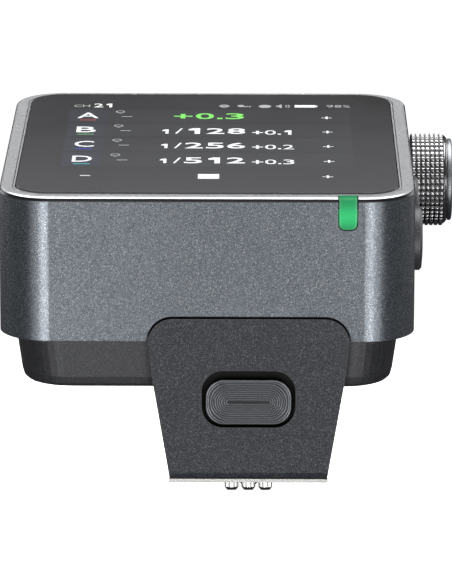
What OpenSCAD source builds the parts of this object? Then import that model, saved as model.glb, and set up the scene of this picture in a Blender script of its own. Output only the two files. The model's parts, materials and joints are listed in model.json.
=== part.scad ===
// Wireless flash trigger that slides into a camera's accessory shoe.
// Frame: the origin is the middle of the shoe foot's underside, below the sync contact.
// +Z is up, -Y faces the photographer, +X is the dial's side. Millimetres.

/* [Case] */
// Width of the upper shell, without the dial
body_w = 48.6; // [46:0.1:52]
// Depth of the upper shell, along the sloping screen
body_d = 55.6; // [54.6:0.1:57]
// Corner radius of the case, seen from above
corner_r = 6; // [5:0.5:7]
// Height of the upper shell's wall
upper_h = 17.2; // [17.1:0.1:18]
// Height of the whole case
body_h = 23.7; // [23.5:0.1:25]
// Wall thickness of both shells
wall = 1.5; // [1.4:0.1:1.8]
// Slope of the screen against the shoe foot, in degrees
tilt = 14; // [13:0.5:15]
// How far the shoe foot sits from the case's middle, towards the dial
foot_offset = 4.9; // [4:0.1:5]
// Inset of the lower shell from the upper one
lower_inset = 1.8; // [1.7:0.05:2]

/* [Screen] */
// Width of the metal rim around the glass
rim = 2; // [1.9:0.05:2.1]
// Thickness of the cover glass
glass_t = 0.9; // [0.8:0.05:0.9]
// How far the glass stands above the rim
glass_proud = 0.2; // [0.1:0.05:0.3]
// Display panel's size across and along the screen
panel_size = [40.8, 47.6]; // [38:0.2:41]

/* [Controls] */
// Distance between the side controls, along the case
key_pitch = 14.7; // [14.5:0.05:15]
// Distance from the front edge to the first side key
key_start = 11.1; // [10.8:0.1:11.3]
// Depth of the side controls' axes below the rim
key_drop = 7.5; // [7.4:0.1:7.7]
// Radius of a side key
key_r = 3.8; // [3.5:0.1:3.9]
// How far a side key stands out
key_proud = 1; // [0.8:0.1:1.2]
// Press travel of a side key
key_travel = 0.4; // [0.3:0.05:0.4]
// Radius of the dial over its knurling
dial_r = 5.7; // [5.4:0.1:6]
// How far the knurled ring reaches out of the case
dial_reach = 4.9; // [4.7:0.05:5.1]
// Radius of the dial's end cap
cap_r = 5.05; // [4.8:0.05:5.2]
// Push travel of the dial
dial_travel = 0.3; // [0.2:0.05:0.5]
// Width of the test key
test_w = 2.05; // [2:0.05:2.4]
// Height of the test key
test_h = 3.7; // [3.6:0.05:4.5]
// Distance of the test key from the case's middle
test_x = 16.35; // [16:0.05:16.5]

/* [Foot and neck] */
// Width of the shoe foot, as the accessory shoe standard has it
foot_w = 18.6; // [18.5:0.05:18.65]
// Length of the shoe foot in front of the neck's stop face
foot_l = 18.9; // [18.5:0.1:19]
// Thickness of the shoe foot
foot_t = 2; // [1.9:0.05:2]
// Distance from the foot's middle to its front end
foot_front = 9.3; // [9.1:0.1:9.4]
// Half width of the narrow pillar between the shoe's rails
pillar_half = 6.1; // [6:0.05:6.2]
// Distance from the foot's middle to the neck's lower back edge
neck_back = 13; // [12.9:0.1:13.2]
// Length of the neck's sloping face, from the rim to its lower edge
face_l = 34; // [33.9:0.1:34.3]
// How far the contact pins stand below the foot
pin_out = 1.35; // [1.2:0.05:1.4]
// Press travel of a contact pin
pin_travel = 0.9; // [0.8:0.1:1]
// Press travel of the lock release
release_travel = 1.6; // [1.5:0.1:1.6]
// Lift of the lock pin for each millimetre of release travel
lock_ratio = 0.9; // [0.88:0.01:0.92]

/* [Hidden] */
$fn = 48;
eps = 0.1;

// Case frame: X from the case's middle, Y back from its front edge, Z up from its rim.
face_low = 0.3;
case_y = -neck_back - face_l * sin(tilt);
case_z = face_low + face_l * cos(tilt);
module in_case() translate([-foot_offset, case_y, case_z]) rotate([tilt, 0, 0]) children();

// A point of the case's side view, as [y, z] in the foot's frame
function side(y, z) = [case_y + y * cos(tilt) - z * sin(tilt), case_z + y * sin(tilt) + z * cos(tilt)];

inner_w = body_w - 2 * wall;
inner_d = body_d - 2 * wall;
glass_w = body_w - 2 * rim;
glass_d = body_d - 2 * rim;
glass_r = corner_r - rim;
glass_bottom = glass_proud - glass_t;
gasket_t = 0.15;
glass_gap = 0.14;
ledge_top = glass_bottom - gasket_t;
ledge_t = 0.9;
ledge_w = 1.2;
panel_t = 2.1;
rim_round = 0.5;
side_x = body_w / 2;
key_y = [key_start, key_start + key_pitch];
dial_y = key_start + 2 * key_pitch;
board_top = -12;
test_round = 0.65;
test_gap = 0.15;
board_t = 1;
lower_top = -upper_h;
key_stem = 19.3;
lower_slope = 0.144;
lower_drop = body_h - upper_h;
lower_low_inset = lower_inset + lower_slope * lower_drop;
floor_z = wall - body_h;
flange_t = 1.4;
boss_low = lower_top + flange_t + 0.1;
boss_h = board_top - board_t - 0.1 - boss_low;
battery_low = -20;
screw_seat = lower_top - 1.8;
case_screw_at = [for (x = [-18, 18], y = [7.2, 47.8]) [x, y]];
neck_screw_at = [for (x = [-8.9, 8.9], y = [8.5, 24]) [foot_offset + x, y]];

// ---- shared shapes ----
module round_rect(w, d, r) {
  square([w - 2 * r, d], center = true);
  square([w, d - 2 * r], center = true);
  for (x = [-1, 1], y = [-1, 1]) translate([x * (w / 2 - r), y * (d / 2 - r)]) circle(r = r);
}
// A plate with round corners, centred on the case, between two heights
module case_plate(w, d, r, low, high) {
  translate([0, body_d / 2, low]) linear_extrude(high - low) round_rect(w, d, r);
}
// A block whose top edge is rounded by f all round, standing on z = 0
module soft_block(w, d, h, r, f) {
  module edge() {
    square([r, h - f]);
    square([r - f, h]);
    translate([r - f, h - f]) circle(r = f);
  }
  for (q = [0:3]) rotate(q * 90) {
    across = q % 2 == 0 ? w : d;
    along = q % 2 == 0 ? d : w;
    translate([across / 2 - r, along / 2 - r, 0]) rotate_extrude(angle = 90) edge();
    translate([across / 2 - r, along / 2 - r, 0]) rotate([90, 0, 0]) linear_extrude(along - 2 * r) edge();
  }
  translate([-w / 2 + r, -d / 2 + r, 0]) cube([w - 2 * r, d - 2 * r, h]);
}
// A disc or bar along +X
module bar_x(r, from, to, sides = $fn) {
  translate([from, 0, 0]) rotate([0, 90, 0]) cylinder(r = r, h = to - from, $fn = sides);
}
// A screw along +Z: its head's top is at z = 0 and its shank points down
module screw(head_r, head_h, shank_r, length) {
  difference() {
    translate([0, 0, -head_h]) cylinder(r = head_r, h = head_h, $fn = 24);
    for (a = [0, 90]) rotate(a) translate([-head_r * 0.6, -0.15, -head_h / 2]) cube([head_r * 1.2, 0.3, head_h]);
  }
  translate([0, 0, -length]) cylinder(r = shank_r, h = length - head_h, $fn = 24);
}
// A coil spring standing on z = 0, as one tube swept along a helix
module coil(r, wire_r, length, turns, per_turn = 10, sides = 6) {
  rings = turns * per_turn;
  rise = length - 2 * wire_r;
  ring_points = [for (i = [0:rings], s = [0:sides - 1])
    let (a = 360 * i / per_turn, b = 360 * s / sides, q = r + wire_r * cos(b))
    [q * cos(a), q * sin(a), wire_r + rise * i / rings + wire_r * sin(b)]];
  walls = [for (i = [0:rings - 1], s = [0:sides - 1])
    let (n = (s + 1) % sides, a = i * sides, b = a + sides)
    each [[a + s, a + n, b + n], [a + s, b + n, b + s]]];
  ends = [[for (s = [sides - 1:-1:0]) s], [for (s = [0:sides - 1]) rings * sides + s]];
  polyhedron(points = ring_points, faces = concat(walls, ends), convexity = 10);
}

// ---- case ----
module upper_shell() color("slategray") in_case() {
  difference() {
    translate([0, body_d / 2, -upper_h]) soft_block(body_w, body_d, upper_h, corner_r, rim_round);
    case_plate(glass_w + 2 * glass_gap, glass_d + 2 * glass_gap, glass_r + glass_gap, ledge_top, eps);
    case_plate(glass_w - 2 * ledge_w, glass_d - 2 * ledge_w, glass_r - ledge_w, -5, eps);
    case_plate(inner_w, inner_d, corner_r - wall, -upper_h - eps, ledge_top - ledge_t);
    // openings for the side keys and the dial's bush
    for (y = key_y) translate([0, y, -key_drop]) bar_x(key_r + 0.15, side_x - 3, side_x + 1);
    translate([0, dial_y, -key_drop]) bar_x(3.2, side_x - 3, side_x + 1);
    // slot for the test key
    translate([test_x - test_w / 2 - test_gap, -1, test_round - test_h])
      cube([test_w + 2 * test_gap, 2.75, test_h]);
    translate([test_x, 1.75, test_round - test_h]) rotate([90, 0, 0]) linear_extrude(2.75)
      round_rect(test_w + 2 * test_gap, 2 * (test_round + test_gap), test_round + test_gap - 0.01);
    // port openings on the left
    translate([-side_x - 1, 16, board_top + 1.65]) rotate([90, 0, 90]) linear_extrude(3.2)
      round_rect(9.4, 3.7, 1.8);
    translate([0, 34, board_top + 2.6]) bar_x(2.5, -side_x - 1, -side_x + 2);
    // notch that the neck's face fills
    translate([foot_offset, -eps, 0]) rotate([90, 0, 0]) mirror([0, 0, 1]) linear_extrude(wall + 2 * eps)
      neck_outline(neck_gap);
  }
  // screw bosses with their ribs to the side walls
  for (p = case_screw_at) difference() {
    s = sign(p[0]);
    union() {
      translate([p[0], p[1], boss_low]) cylinder(r = 2.3, h = boss_h);
      translate([s > 0 ? p[0] : -inner_w / 2 - eps, p[1] - 1.2, boss_low])
        cube([inner_w / 2 - abs(p[0]) + eps, 2.4, boss_h]);
    }
    translate([p[0], p[1], boss_low - eps]) cylinder(r = 0.8, h = boss_h - 0.3);
  }
}
// The neck's outline as seen along the case: round upper corners over tapering sides, grown by a gap
neck_gap = 0.28;
module neck_outline(gap = 0) {
  half = 11.67 + gap;
  r = 2.81 + gap;
  z = lower_top - 0.1;
  waist = [11.17 + gap, z - 5];
  heel = [8.03 + gap, z - 23.7];
  for (x = [-1, 1]) translate([x * (half - r), z]) circle(r = r);
  translate([r - half, z - eps]) square([2 * (half - r), r + eps]);
  polygon([[-half, z], [half, z], waist, heel, [-heel[0], heel[1]], [-waist[0], waist[1]]]);
}
module lower_outline(inset, z) {
  translate([0, body_d / 2, z]) linear_extrude(0.02)
    round_rect(body_w - 2 * inset, body_d - 2 * inset, corner_r - inset * 0.3, $fn = 40);
}
module lower_shell() color("dimgray") in_case() difference() {
  union() {
    hull() {
      lower_outline(lower_inset, lower_top - 0.02);
      lower_outline(lower_low_inset - 0.27, -body_h + 1.5);
      lower_outline(lower_low_inset - 0.05, -body_h + 0.65);
      lower_outline(lower_low_inset + 0.3, -body_h + 0.25);
      lower_outline(lower_low_inset + 1.1, -body_h);
    }
    case_plate(inner_w - 0.2, inner_d - 0.2, corner_r - wall - 0.1, lower_top, lower_top + flange_t);
  }
  difference() {
    case_plate(body_w - 2 * lower_low_inset - 2 * wall, body_d - 2 * lower_low_inset - 2 * wall, 3, floor_z, 0);
    for (p = case_screw_at) translate([p[0], p[1], -body_h]) cylinder(r = 2.5, h = lower_drop + flange_t);
  }
  for (p = case_screw_at) translate([p[0], p[1], 0]) {
    translate([0, 0, -30]) cylinder(r = 0.95, h = 20);
    translate([0, 0, -30]) cylinder(r = 1.6, h = 30 + screw_seat);
  }
  for (p = neck_screw_at) translate([p[0], p[1], -30]) cylinder(r = 0.95, h = 12);
  // opening into the neck's chamber, for the lock release and the contact wires
  translate([foot_offset - 6.4, -1, -body_h - 1]) cube([12.8, 13, 4.5]);
}
module cover_glass() color("black") in_case()
  case_plate(glass_w, glass_d, glass_r, glass_bottom, glass_proud);
module glass_gasket() color("black") in_case() difference() {
  case_plate(glass_w - 0.1, glass_d - 0.1, glass_r, ledge_top, glass_bottom);
  case_plate(glass_w - 2 * ledge_w, glass_d - 2 * ledge_w, glass_r - ledge_w, -2, 0);
}
module display_panel() color("darkslategray") in_case() {
  case_plate(panel_size[0], panel_size[1], 0.8, glass_bottom - panel_t, glass_bottom);
}
module display_flex() color("orange") in_case() {
  x = -6;
  y = body_d - 4.2;
  low = board_top + 0.3;
  translate([x, y - 0.2, low]) cube([12, 0.2, glass_bottom - panel_t - low]);
  translate([x, y - 6, board_top]) cube([12, 6, 0.3]);
}

// ---- boards and what is on them ----
module main_board() color("darkgreen") in_case() difference() {
  translate([-21.4, 3.4, board_top - board_t]) cube([37, 48.2, board_t]);
  for (p = case_screw_at) translate([p[0], p[1], -14]) cylinder(r = 2.6, h = 4);
}
module radio_shield() color("silver") in_case() difference() {
  translate([-7, 27, board_top]) cube([17, 15, 2.4]);
  translate([-6.8, 27.2, board_top - eps]) cube([16.6, 14.6, 2.3]);
  for (x = [-5:2.5:8], y = [29.5:2.5:40]) translate([x, y, board_top]) cylinder(r = 0.4, h = 4, $fn = 16);
}
module antenna() color("goldenrod") in_case() {
  translate([-19, body_d - 2.4, -10]) cube([11, 0.4, 5]);
  translate([-19, body_d - 4.2, board_top]) cube([3, 2.2, 2]);
}
module buzzer() color("black") in_case() translate([-9.5, 19, board_top]) difference() {
  cylinder(r = 4.5, h = 3);
  translate([0, 0, 2.2]) cylinder(r = 0.9, h = 2);
}
module battery() color("silver") in_case() {
  case_plate(30, 42, 1.6, battery_low, -14.2);
  translate([-6, 5.4, -18]) cube([12, 1.6, 2.4]);
}
module battery_pad() color("darkgray") in_case() translate([-14, 28.2, floor_z])
  cube([28, 20, battery_low - floor_z]);
module usb_shell_outline(gap) round_rect(8.94 - 2 * gap, 3.26 - 2 * gap, 1.55 - gap);
module usb_port() color("silver") in_case() translate([-side_x + 0.35, 16, board_top + 1.63]) rotate([90, 0, 90]) {
  difference() {
    linear_extrude(7.4) usb_shell_outline(0);
    translate([0, 0, -1]) linear_extrude(7.6) usb_shell_outline(0.3);
  }
}
module usb_tongue() color("black") in_case() translate([-side_x + 0.95, 16, board_top + 1.63]) rotate([90, 0, 90])
  linear_extrude(6) square([6.7, 0.7], center = true);
module sync_jack() color("black") in_case() translate([0, 34, board_top + 2.6]) difference() {
  union() {
    bar_x(2.4, -side_x + 0.1, -side_x + 2);
    translate([-side_x + 1.6, -2.6, -2.6]) cube([9.6, 5.2, 5.2]);
  }
  bar_x(1.3, -side_x, -side_x + 10.1);
}
module side_board() color("darkgreen") in_case()
  translate([15.7, 6.4, board_top]) cube([1, 41.4, 8.6]);
module side_switches() color("black") in_case() for (y = key_y) translate([0, y, -key_drop]) difference() {
  translate([16.7, -2.3, -2.3]) cube([3.7, 4.6, 4.6]);
  bar_x(1.1, key_stem - key_travel - 0.5, 21, 24);
}
module front_board() color("darkgreen") in_case() translate([12.6, 5.3, board_top]) cube([6.6, 0.7, 9]);
module test_switch() color("black") in_case() translate([test_x, 0, -4.4]) difference() {
  translate([-1.8, 3.2, -1.5]) cube([3.6, 2.1, 3]);
  translate([0, 4.5, 0]) rotate([90, 0, 0]) cylinder(r = 0.65, h = 2, $fn = 24);
}
module status_led() color("white") in_case() translate([test_x - 0.8, 4.4, -7.2]) cube([1.6, 0.9, 0.9]);

// ---- dial ----
module encoder_case() color("gray") in_case() translate([0, dial_y, -key_drop]) difference() {
  translate([16.7, -4.2, -4.2]) cube([4.3, 8.4, 8.4]);
  bar_x(1.56, 16.85, 22);
  bar_x(3.2, 18.3, 22);
}
module encoder_bush() color("lightgray") in_case() translate([0, dial_y, -key_drop]) difference() {
  union() {
    translate([21, -4.2, -4.2]) cube([0.8, 8.4, 8.4]);
    bar_x(3, 21.8, 24);
  }
  bar_x(1.56, 20, 25);
}
module dial_shaft() color("lightgray") in_case() translate([0, dial_y, -key_drop])
  bar_x(1.5, 17.75, side_x + dial_reach - 0.9);
module detent_wheel() color("white") in_case() translate([0, dial_y, -key_drop]) difference() {
  bar_x(2.9, 19.3, 20.2);
  bar_x(1.5, 19, 21);
  for (a = [0:15:345]) rotate([a, 0, 0]) translate([0, 0, 3.05]) bar_x(0.3, 19, 21, 16);
}
module dial_push_rod() color("white") in_case() translate([0, dial_y, -key_drop]) bar_x(1.45, 17.4, 17.75);
module dial_ring() color("darkgray") in_case() translate([0, dial_y, -key_drop]) rotate([0, 90, 0]) difference() {
  from = side_x + dial_travel + 0.1;
  to = side_x + dial_reach;
  rings = 7;
  pitch = (to - from - 0.5) / rings;
  rotate_extrude() polygon([
    [0, from], [dial_r - 0.3, from],
    for (i = [0:rings - 1]) each [
      [dial_r, from + 0.25 + pitch * (i + 0.2)],
      [dial_r, from + 0.25 + pitch * (i + 0.6)],
      [dial_r - 0.25, from + 0.25 + pitch * (i + 0.9)]],
    [dial_r - 0.4, to], [0, to]]);
  translate([0, 0, from - eps]) cylinder(r = 3.4, h = 1.2);
  translate([0, 0, from - eps]) cylinder(r = 1.5, h = to - from - 0.9 + eps);
}
module dial_cap() color("gray") in_case() translate([0, dial_y, -key_drop]) rotate([0, 90, 0])
  translate([0, 0, side_x + dial_reach]) rotate_extrude()
    polygon([[0, 0], [cap_r - 0.25, 0], [cap_r - 0.25, 0.13], [cap_r, 0.13], [cap_r, 0.45], [cap_r - 0.15, 0.58],
      for (a = [1:4]) [(cap_r - 0.15) * cos(a * 22.5), 0.58 + 0.14 * sin(a * 22.5)]]);

// ---- keys ----
module side_key(y) in_case() translate([0, y, -key_drop]) {
  rotate([0, 90, 0]) rotate_extrude() polygon([
    [0, side_x - 2.35], [key_r + 0.8, side_x - 2.35], [key_r + 0.8, side_x - 1.65], [key_r, side_x - 1.65],
    [key_r, side_x + key_proud - 0.35], [key_r - 0.3, side_x + key_proud - 0.1],
    [key_r - 1.4, side_x + key_proud], [0, side_x + key_proud]]);
  bar_x(1, key_stem, side_x - 2.3, 24);
}
module power_key() color("dimgray") side_key(key_y[0]);
module menu_key() color("dimgray") side_key(key_y[1]);
module test_key() color("limegreen") in_case() translate([test_x, 0, 0]) {
  r = test_round;
  translate([0, 1.25, 0]) rotate([90, 0, 0]) linear_extrude(1.37) {
    translate([-test_w / 2, r - test_h]) square([test_w, test_h - r]);
    translate([r - test_w / 2, -test_h]) square([test_w - 2 * r, r + eps]);
    for (s = [-1, 1]) translate([s * (test_w / 2 - r), r - test_h]) circle(r = r);
  }
  translate([-0.9, 1.2, 0.2 - test_h]) cube([1.8, 0.5, test_h - 2]);
  translate([-1.6, 1.6, -5.2]) cube([3.2, 0.5, 3.4]);
  translate([0, 3.9, -4.4]) rotate([90, 0, 0]) cylinder(r = 0.55, h = 1.9, $fn = 24);
}

// ---- screws ----
module case_screws() color("silver") in_case() for (p = case_screw_at)
  translate([p[0], p[1], screw_seat - 0.95]) rotate([180, 0, 0]) screw(1.45, 0.9, 0.75, 6.4);
module neck_screws() color("silver") in_case() for (p = neck_screw_at)
  translate([p[0], p[1], floor_z + 0.9]) screw(1.4, 0.9, 0.75, 6);

// ---- neck ----
foot_stop = foot_front - foot_l;
rail_top = foot_t + 2.7;
chamber_low = 4.8;
guide_z = 9.83;
button_z = 9.49;
button_size = [9.96, 5.2];
guide_size = [10.98, 6.67];
chamber_back = -12.4;
plate_t = 0.9;
plate_back = chamber_back + 0.1 + plate_t;
spring_l = release_travel + 2.6;
neck_front = 11;
heel_r = 1.4;
lip_t = 0.4;
heel_y = -neck_back - (lip_t - face_low) * tan(tilt) + heel_r * (1 - sin(tilt)) / cos(tilt);
module neck_side() {
  polygon([
    side(0, lower_top + 3), side(wall, lower_top + 3), side(wall, lower_top - 0.1),
    side(lower_inset - 0.1, lower_top - 0.1), side(lower_low_inset - 0.4, -body_h + 1.5),
    side(lower_low_inset - 0.15, -body_h + 0.6), side(lower_low_inset + 0.25, -body_h + 0.15),
    side(lower_low_inset + 1.05, -body_h), side(28, -body_h),
    [neck_front, rail_top + 1.2], [foot_front, rail_top], [foot_front, foot_t], [foot_stop, foot_t],
    [foot_stop, lip_t],
    for (a = [270:-12.6:195]) [heel_y + heel_r * cos(a), lip_t + heel_r * (1 + sin(a))]]);
}
module mount_neck() color("dimgray") {
  // rib that the release spring pushes on
  translate([-3.2, plate_back + spring_l, chamber_low - eps]) cube([6.4, 1, 6.8]);
  difference() {
    intersection() {
      translate([-15, 0, 0]) rotate([90, 0, 90]) linear_extrude(30) neck_side();
      in_case() translate([foot_offset, 0, 0]) rotate([90, 0, 0]) mirror([0, 0, 1]) linear_extrude(45)
        neck_outline();
    }
    // gaps that the accessory shoe's rails slide into
    for (s = [-1, 1]) translate([s > 0 ? pillar_half : -20, foot_stop, -1])
      cube([20 - pillar_half, 30, rail_top + 1]);
    // chamber for the release and the lock, open at the top
    translate([-5.1, chamber_back, chamber_low]) cube([10.2, 9.4 - chamber_back, 2.2]);
    translate([-6.4, chamber_back, 6.2]) cube([12.8, 9.4 - chamber_back, 20]);
    // well of the contact pins and bore of the lock pin
    translate([-3.2, -6.2, foot_t - eps]) cube([6.4, 8.6, 4]);
    translate([0, 6.2, 0]) cylinder(r = 1.2, h = 6, $fn = 32);
    // mouth of the release button
    translate([0, -20, guide_z]) rotate([-90, 0, 0]) linear_extrude(9)
      round_rect(guide_size[0], guide_size[1], 2.5);
    for (x = [-4.4, 4.4], y = [-7.8, 5.6]) translate([x, y, 0]) cylinder(r = 0.7, h = 4.4, $fn = 24);
    in_case() for (p = neck_screw_at) translate([p[0], p[1], -29]) cylinder(r = 0.8, h = 6, $fn = 24);
    for (s = [-1, 1]) translate([s * 6.9, 6.4, 9]) cylinder(r = 0.5, h = 4, $fn = 16);
    // seat of the lock's retainer
    translate([-7.7, 3.6, 13]) cube([15.4, 5.7, 10]);
  }
}
module shoe_foot() color("lightgray") difference() {
  union() {
    translate([-foot_w / 2, foot_stop, 0]) cube([foot_w, foot_l, foot_t]);
    translate([-foot_w / 2, -neck_back + 0.5, 0]) cube([foot_w, neck_back - 0.5 + foot_stop + eps, lip_t]);
  }
  translate([-5.2, -6.2, -1]) cube([10.4, 8.6, 4]);
  translate([0, 6.2, -1]) cylinder(r = 1.2, h = 4, $fn = 32);
  for (x = [-4.4, 4.4], y = [-7.8, 5.6]) translate([x, y, -1]) {
    cylinder(r = 0.85, h = 4, $fn = 24);
    cylinder(r = 1.4, h = 1.9, $fn = 24);
  }
  for (s = [-1, 1]) translate([s * foot_w / 2, foot_front, -1]) rotate(45) cube([1.4, 1.4, 8], center = true);
}
module foot_screws() color("silver") for (x = [-4.4, 4.4], y = [-7.8, 5.6])
  translate([x, y, 0.1]) rotate([180, 0, 0]) screw(1.35, 0.8, 0.65, 4);
pin_y = -4;
pin_pitch = 2;
pin_top = 4.4;
module contact_insulator() color("black") difference() {
  union() {
    translate([-5.1, -6.1, 0]) cube([10.2, 8.4, foot_t]);
    translate([-3.1, -6.1, foot_t - eps]) cube([6.2, 8.4, 0.65 + eps]);
  }
  for (x = [-1:1]) translate([x * pin_pitch, pin_y, -1]) cylinder(r = 0.86, h = 5, $fn = 24);
  translate([0, 0, -1]) cylinder(r = 0.86, h = 5, $fn = 24);
}
module contact_board() color("darkgreen") translate([-3.1, -6.1, pin_top + pin_travel + 0.7]) cube([6.2, 8.4, 0.6]);
module contact_wires() color("red") for (x = [-2.4:1.2:2.4]) translate([x, -3, 6.6]) cylinder(r = 0.3, h = 4.4, $fn = 16);
// A sprung contact pin with a bevelled tip, a collar above the insulator and a spring stem
module pin(r, stem_r) {
  translate([0, 0, -pin_out]) rotate_extrude($fn = 32) polygon([
    [0, 0], [r - 0.3, 0], [r, 0.35], [r, pin_out + foot_t + 0.7], [r + 0.1, pin_out + foot_t + 0.7],
    [r + 0.1, pin_out + foot_t + 1.2], [stem_r, pin_out + foot_t + 1.2], [stem_r, pin_out + pin_top], [0, pin_out + pin_top]]);
}
module sync_pin() color("lightgray") pin(0.82, 0.4);
module left_pin() color("lightgray") translate([-pin_pitch, pin_y, 0]) pin(0.82, 0.4);
module middle_pin() color("lightgray") translate([0, pin_y, 0]) pin(0.82, 0.4);
module right_pin() color("lightgray") translate([pin_pitch, pin_y, 0]) pin(0.82, 0.4);
module pin_spring() translate([0, 0, 3.2]) coil(0.64, 0.14, 2.8, 5, 8, 5);
module sync_spring() color("gray") pin_spring();
module left_spring() color("gray") translate([-pin_pitch, pin_y, 0]) pin_spring();
module middle_spring() color("gray") translate([0, pin_y, 0]) pin_spring();
module right_spring() color("gray") translate([pin_pitch, pin_y, 0]) pin_spring();

// ---- lock ----
lock_y = 6.2;
cross_z = 6.6;
ramp_reach = 0.65 / cos(atan(lock_ratio));
arm_low = 5;
arm_top = 7.9;
function ramp_y(z) = lock_y + (cross_z - ramp_reach - z) / lock_ratio;
module release_button() color("dimgray") {
  intersection() {
    translate([0, -20, button_z]) rotate([-90, 0, 0]) linear_extrude(8.6)
      round_rect(button_size[0], button_size[1], 2.1);
    in_case() translate([foot_offset, 20.04, -25]) cube([40, 40, 40], center = true);
  }
  translate([-6.1, plate_back - plate_t, button_z - 3]) cube([12.2, plate_t, 5.5]);
  for (s = [-1, 1]) translate([s * 4.15 - 0.65, 0, 0]) rotate([90, 0, 90]) linear_extrude(1.3)
    polygon([[plate_back - plate_t, arm_low], [ramp_y(arm_low), arm_low],
      [ramp_y(arm_top), arm_top], [plate_back - plate_t, arm_top]]);
}
module button_guide() color("black") difference() {
  intersection() {
    translate([0, -20, guide_z]) rotate([-90, 0, 0]) linear_extrude(7.6)
      round_rect(guide_size[0] - 0.04, guide_size[1] - 0.04, 2.48);
    in_case() translate([foot_offset, 21, -25]) cube([40, 40, 40], center = true);
  }
  translate([0, -21, button_z]) rotate([-90, 0, 0]) linear_extrude(12)
    round_rect(button_size[0] + 0.3, button_size[1] + 0.3, 2.25);
}
module release_spring() color("gray") translate([0, plate_back, button_z]) rotate([-90, 0, 0])
  coil(1.5, 0.2, spring_l, 4.5);
module lock_pin() color("lightgray") translate([0, lock_y, 0]) difference() {
  union() {
    translate([0, 0, -1.3]) cylinder(r1 = 0.8, r2 = 1.1, h = 0.3, $fn = 32);
    translate([0, 0, -1]) cylinder(r = 1.1, h = 9.2, $fn = 32);
    translate([0, 0, 8.2]) cylinder(r = 1.7, h = 0.6, $fn = 32);
    translate([0, 0, 8.8]) cylinder(r = 0.8, h = 1.2, $fn = 32);
  }
  translate([0, 0, cross_z]) bar_x(0.6, -3, 3, 24);
}
module lock_cross_pin() color("silver") translate([0, lock_y, cross_z]) bar_x(0.6, -4.95, 4.95, 24);
module lock_spring() color("gray") translate([0, lock_y, 8.8]) coil(1.2, 0.18, 4.2, 5);
module lock_retainer() color("lightgray") difference() {
  translate([-7.6, 3.7, 13]) cube([15.2, 5.5, 0.9]);
  for (s = [-1, 1]) translate([s * 6.9, 6.4, 12]) cylinder(r = 0.55, h = 4, $fn = 16);
}
module retainer_screws() color("silver") for (s = [-1, 1]) translate([s * 6.9, 6.4, 14.5]) screw(0.65, 0.6, 0.45, 5);

upper_shell();
lower_shell();
cover_glass();
glass_gasket();
display_panel();
display_flex();
main_board();
radio_shield();
antenna();
buzzer();
battery();
battery_pad();
usb_port();
usb_tongue();
sync_jack();
side_board();
side_switches();
encoder_case();
encoder_bush();
dial_shaft();
detent_wheel();
dial_push_rod();
dial_ring();
dial_cap();
menu_key();
power_key();
test_key();
front_board();
test_switch();
status_led();
case_screws();
mount_neck();
neck_screws();
shoe_foot();
foot_screws();
contact_insulator();
contact_board();
contact_wires();
sync_pin();
left_pin();
middle_pin();
right_pin();
sync_spring();
left_spring();
middle_spring();
right_spring();
release_button();
button_guide();
release_spring();
lock_pin();
lock_cross_pin();
lock_spring();
lock_retainer();
retainer_screws();
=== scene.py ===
"""Looks of the wireless flash trigger.

Finishes for every CAD node, the screen's graphics, the knurled dial ring, the ribbed
release face and the studio. Sizes in class fields are millimetres; meshes are metres.
"""

import json
import logging
import math
from dataclasses import dataclass, field
from enum import Enum

import bmesh
import bpy
import numpy as np
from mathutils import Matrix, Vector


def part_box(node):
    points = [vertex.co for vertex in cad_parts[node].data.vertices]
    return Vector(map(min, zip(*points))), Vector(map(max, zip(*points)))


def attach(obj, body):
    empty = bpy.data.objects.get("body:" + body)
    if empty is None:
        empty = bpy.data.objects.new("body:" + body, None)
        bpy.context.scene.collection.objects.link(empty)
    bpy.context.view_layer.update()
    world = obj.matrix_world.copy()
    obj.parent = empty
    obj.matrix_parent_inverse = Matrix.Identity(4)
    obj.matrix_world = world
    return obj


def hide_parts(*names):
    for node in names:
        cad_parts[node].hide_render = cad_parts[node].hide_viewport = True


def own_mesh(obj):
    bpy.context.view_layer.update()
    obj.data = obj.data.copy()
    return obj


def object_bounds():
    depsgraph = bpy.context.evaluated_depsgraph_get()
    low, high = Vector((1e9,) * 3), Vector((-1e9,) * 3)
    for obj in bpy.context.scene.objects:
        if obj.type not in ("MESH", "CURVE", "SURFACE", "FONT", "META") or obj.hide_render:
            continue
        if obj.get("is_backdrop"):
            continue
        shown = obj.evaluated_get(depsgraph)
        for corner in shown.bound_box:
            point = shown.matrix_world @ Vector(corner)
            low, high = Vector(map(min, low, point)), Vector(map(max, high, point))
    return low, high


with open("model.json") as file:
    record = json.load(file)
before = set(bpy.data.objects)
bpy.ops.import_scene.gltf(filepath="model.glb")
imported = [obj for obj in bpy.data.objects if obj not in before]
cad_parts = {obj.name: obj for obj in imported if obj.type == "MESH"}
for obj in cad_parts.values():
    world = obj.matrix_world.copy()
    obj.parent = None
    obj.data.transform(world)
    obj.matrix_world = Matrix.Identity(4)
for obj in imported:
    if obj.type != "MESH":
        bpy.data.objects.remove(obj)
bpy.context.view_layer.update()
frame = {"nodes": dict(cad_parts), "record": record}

MM = 0.001
log = logging.getLogger("flash_trigger")


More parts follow.
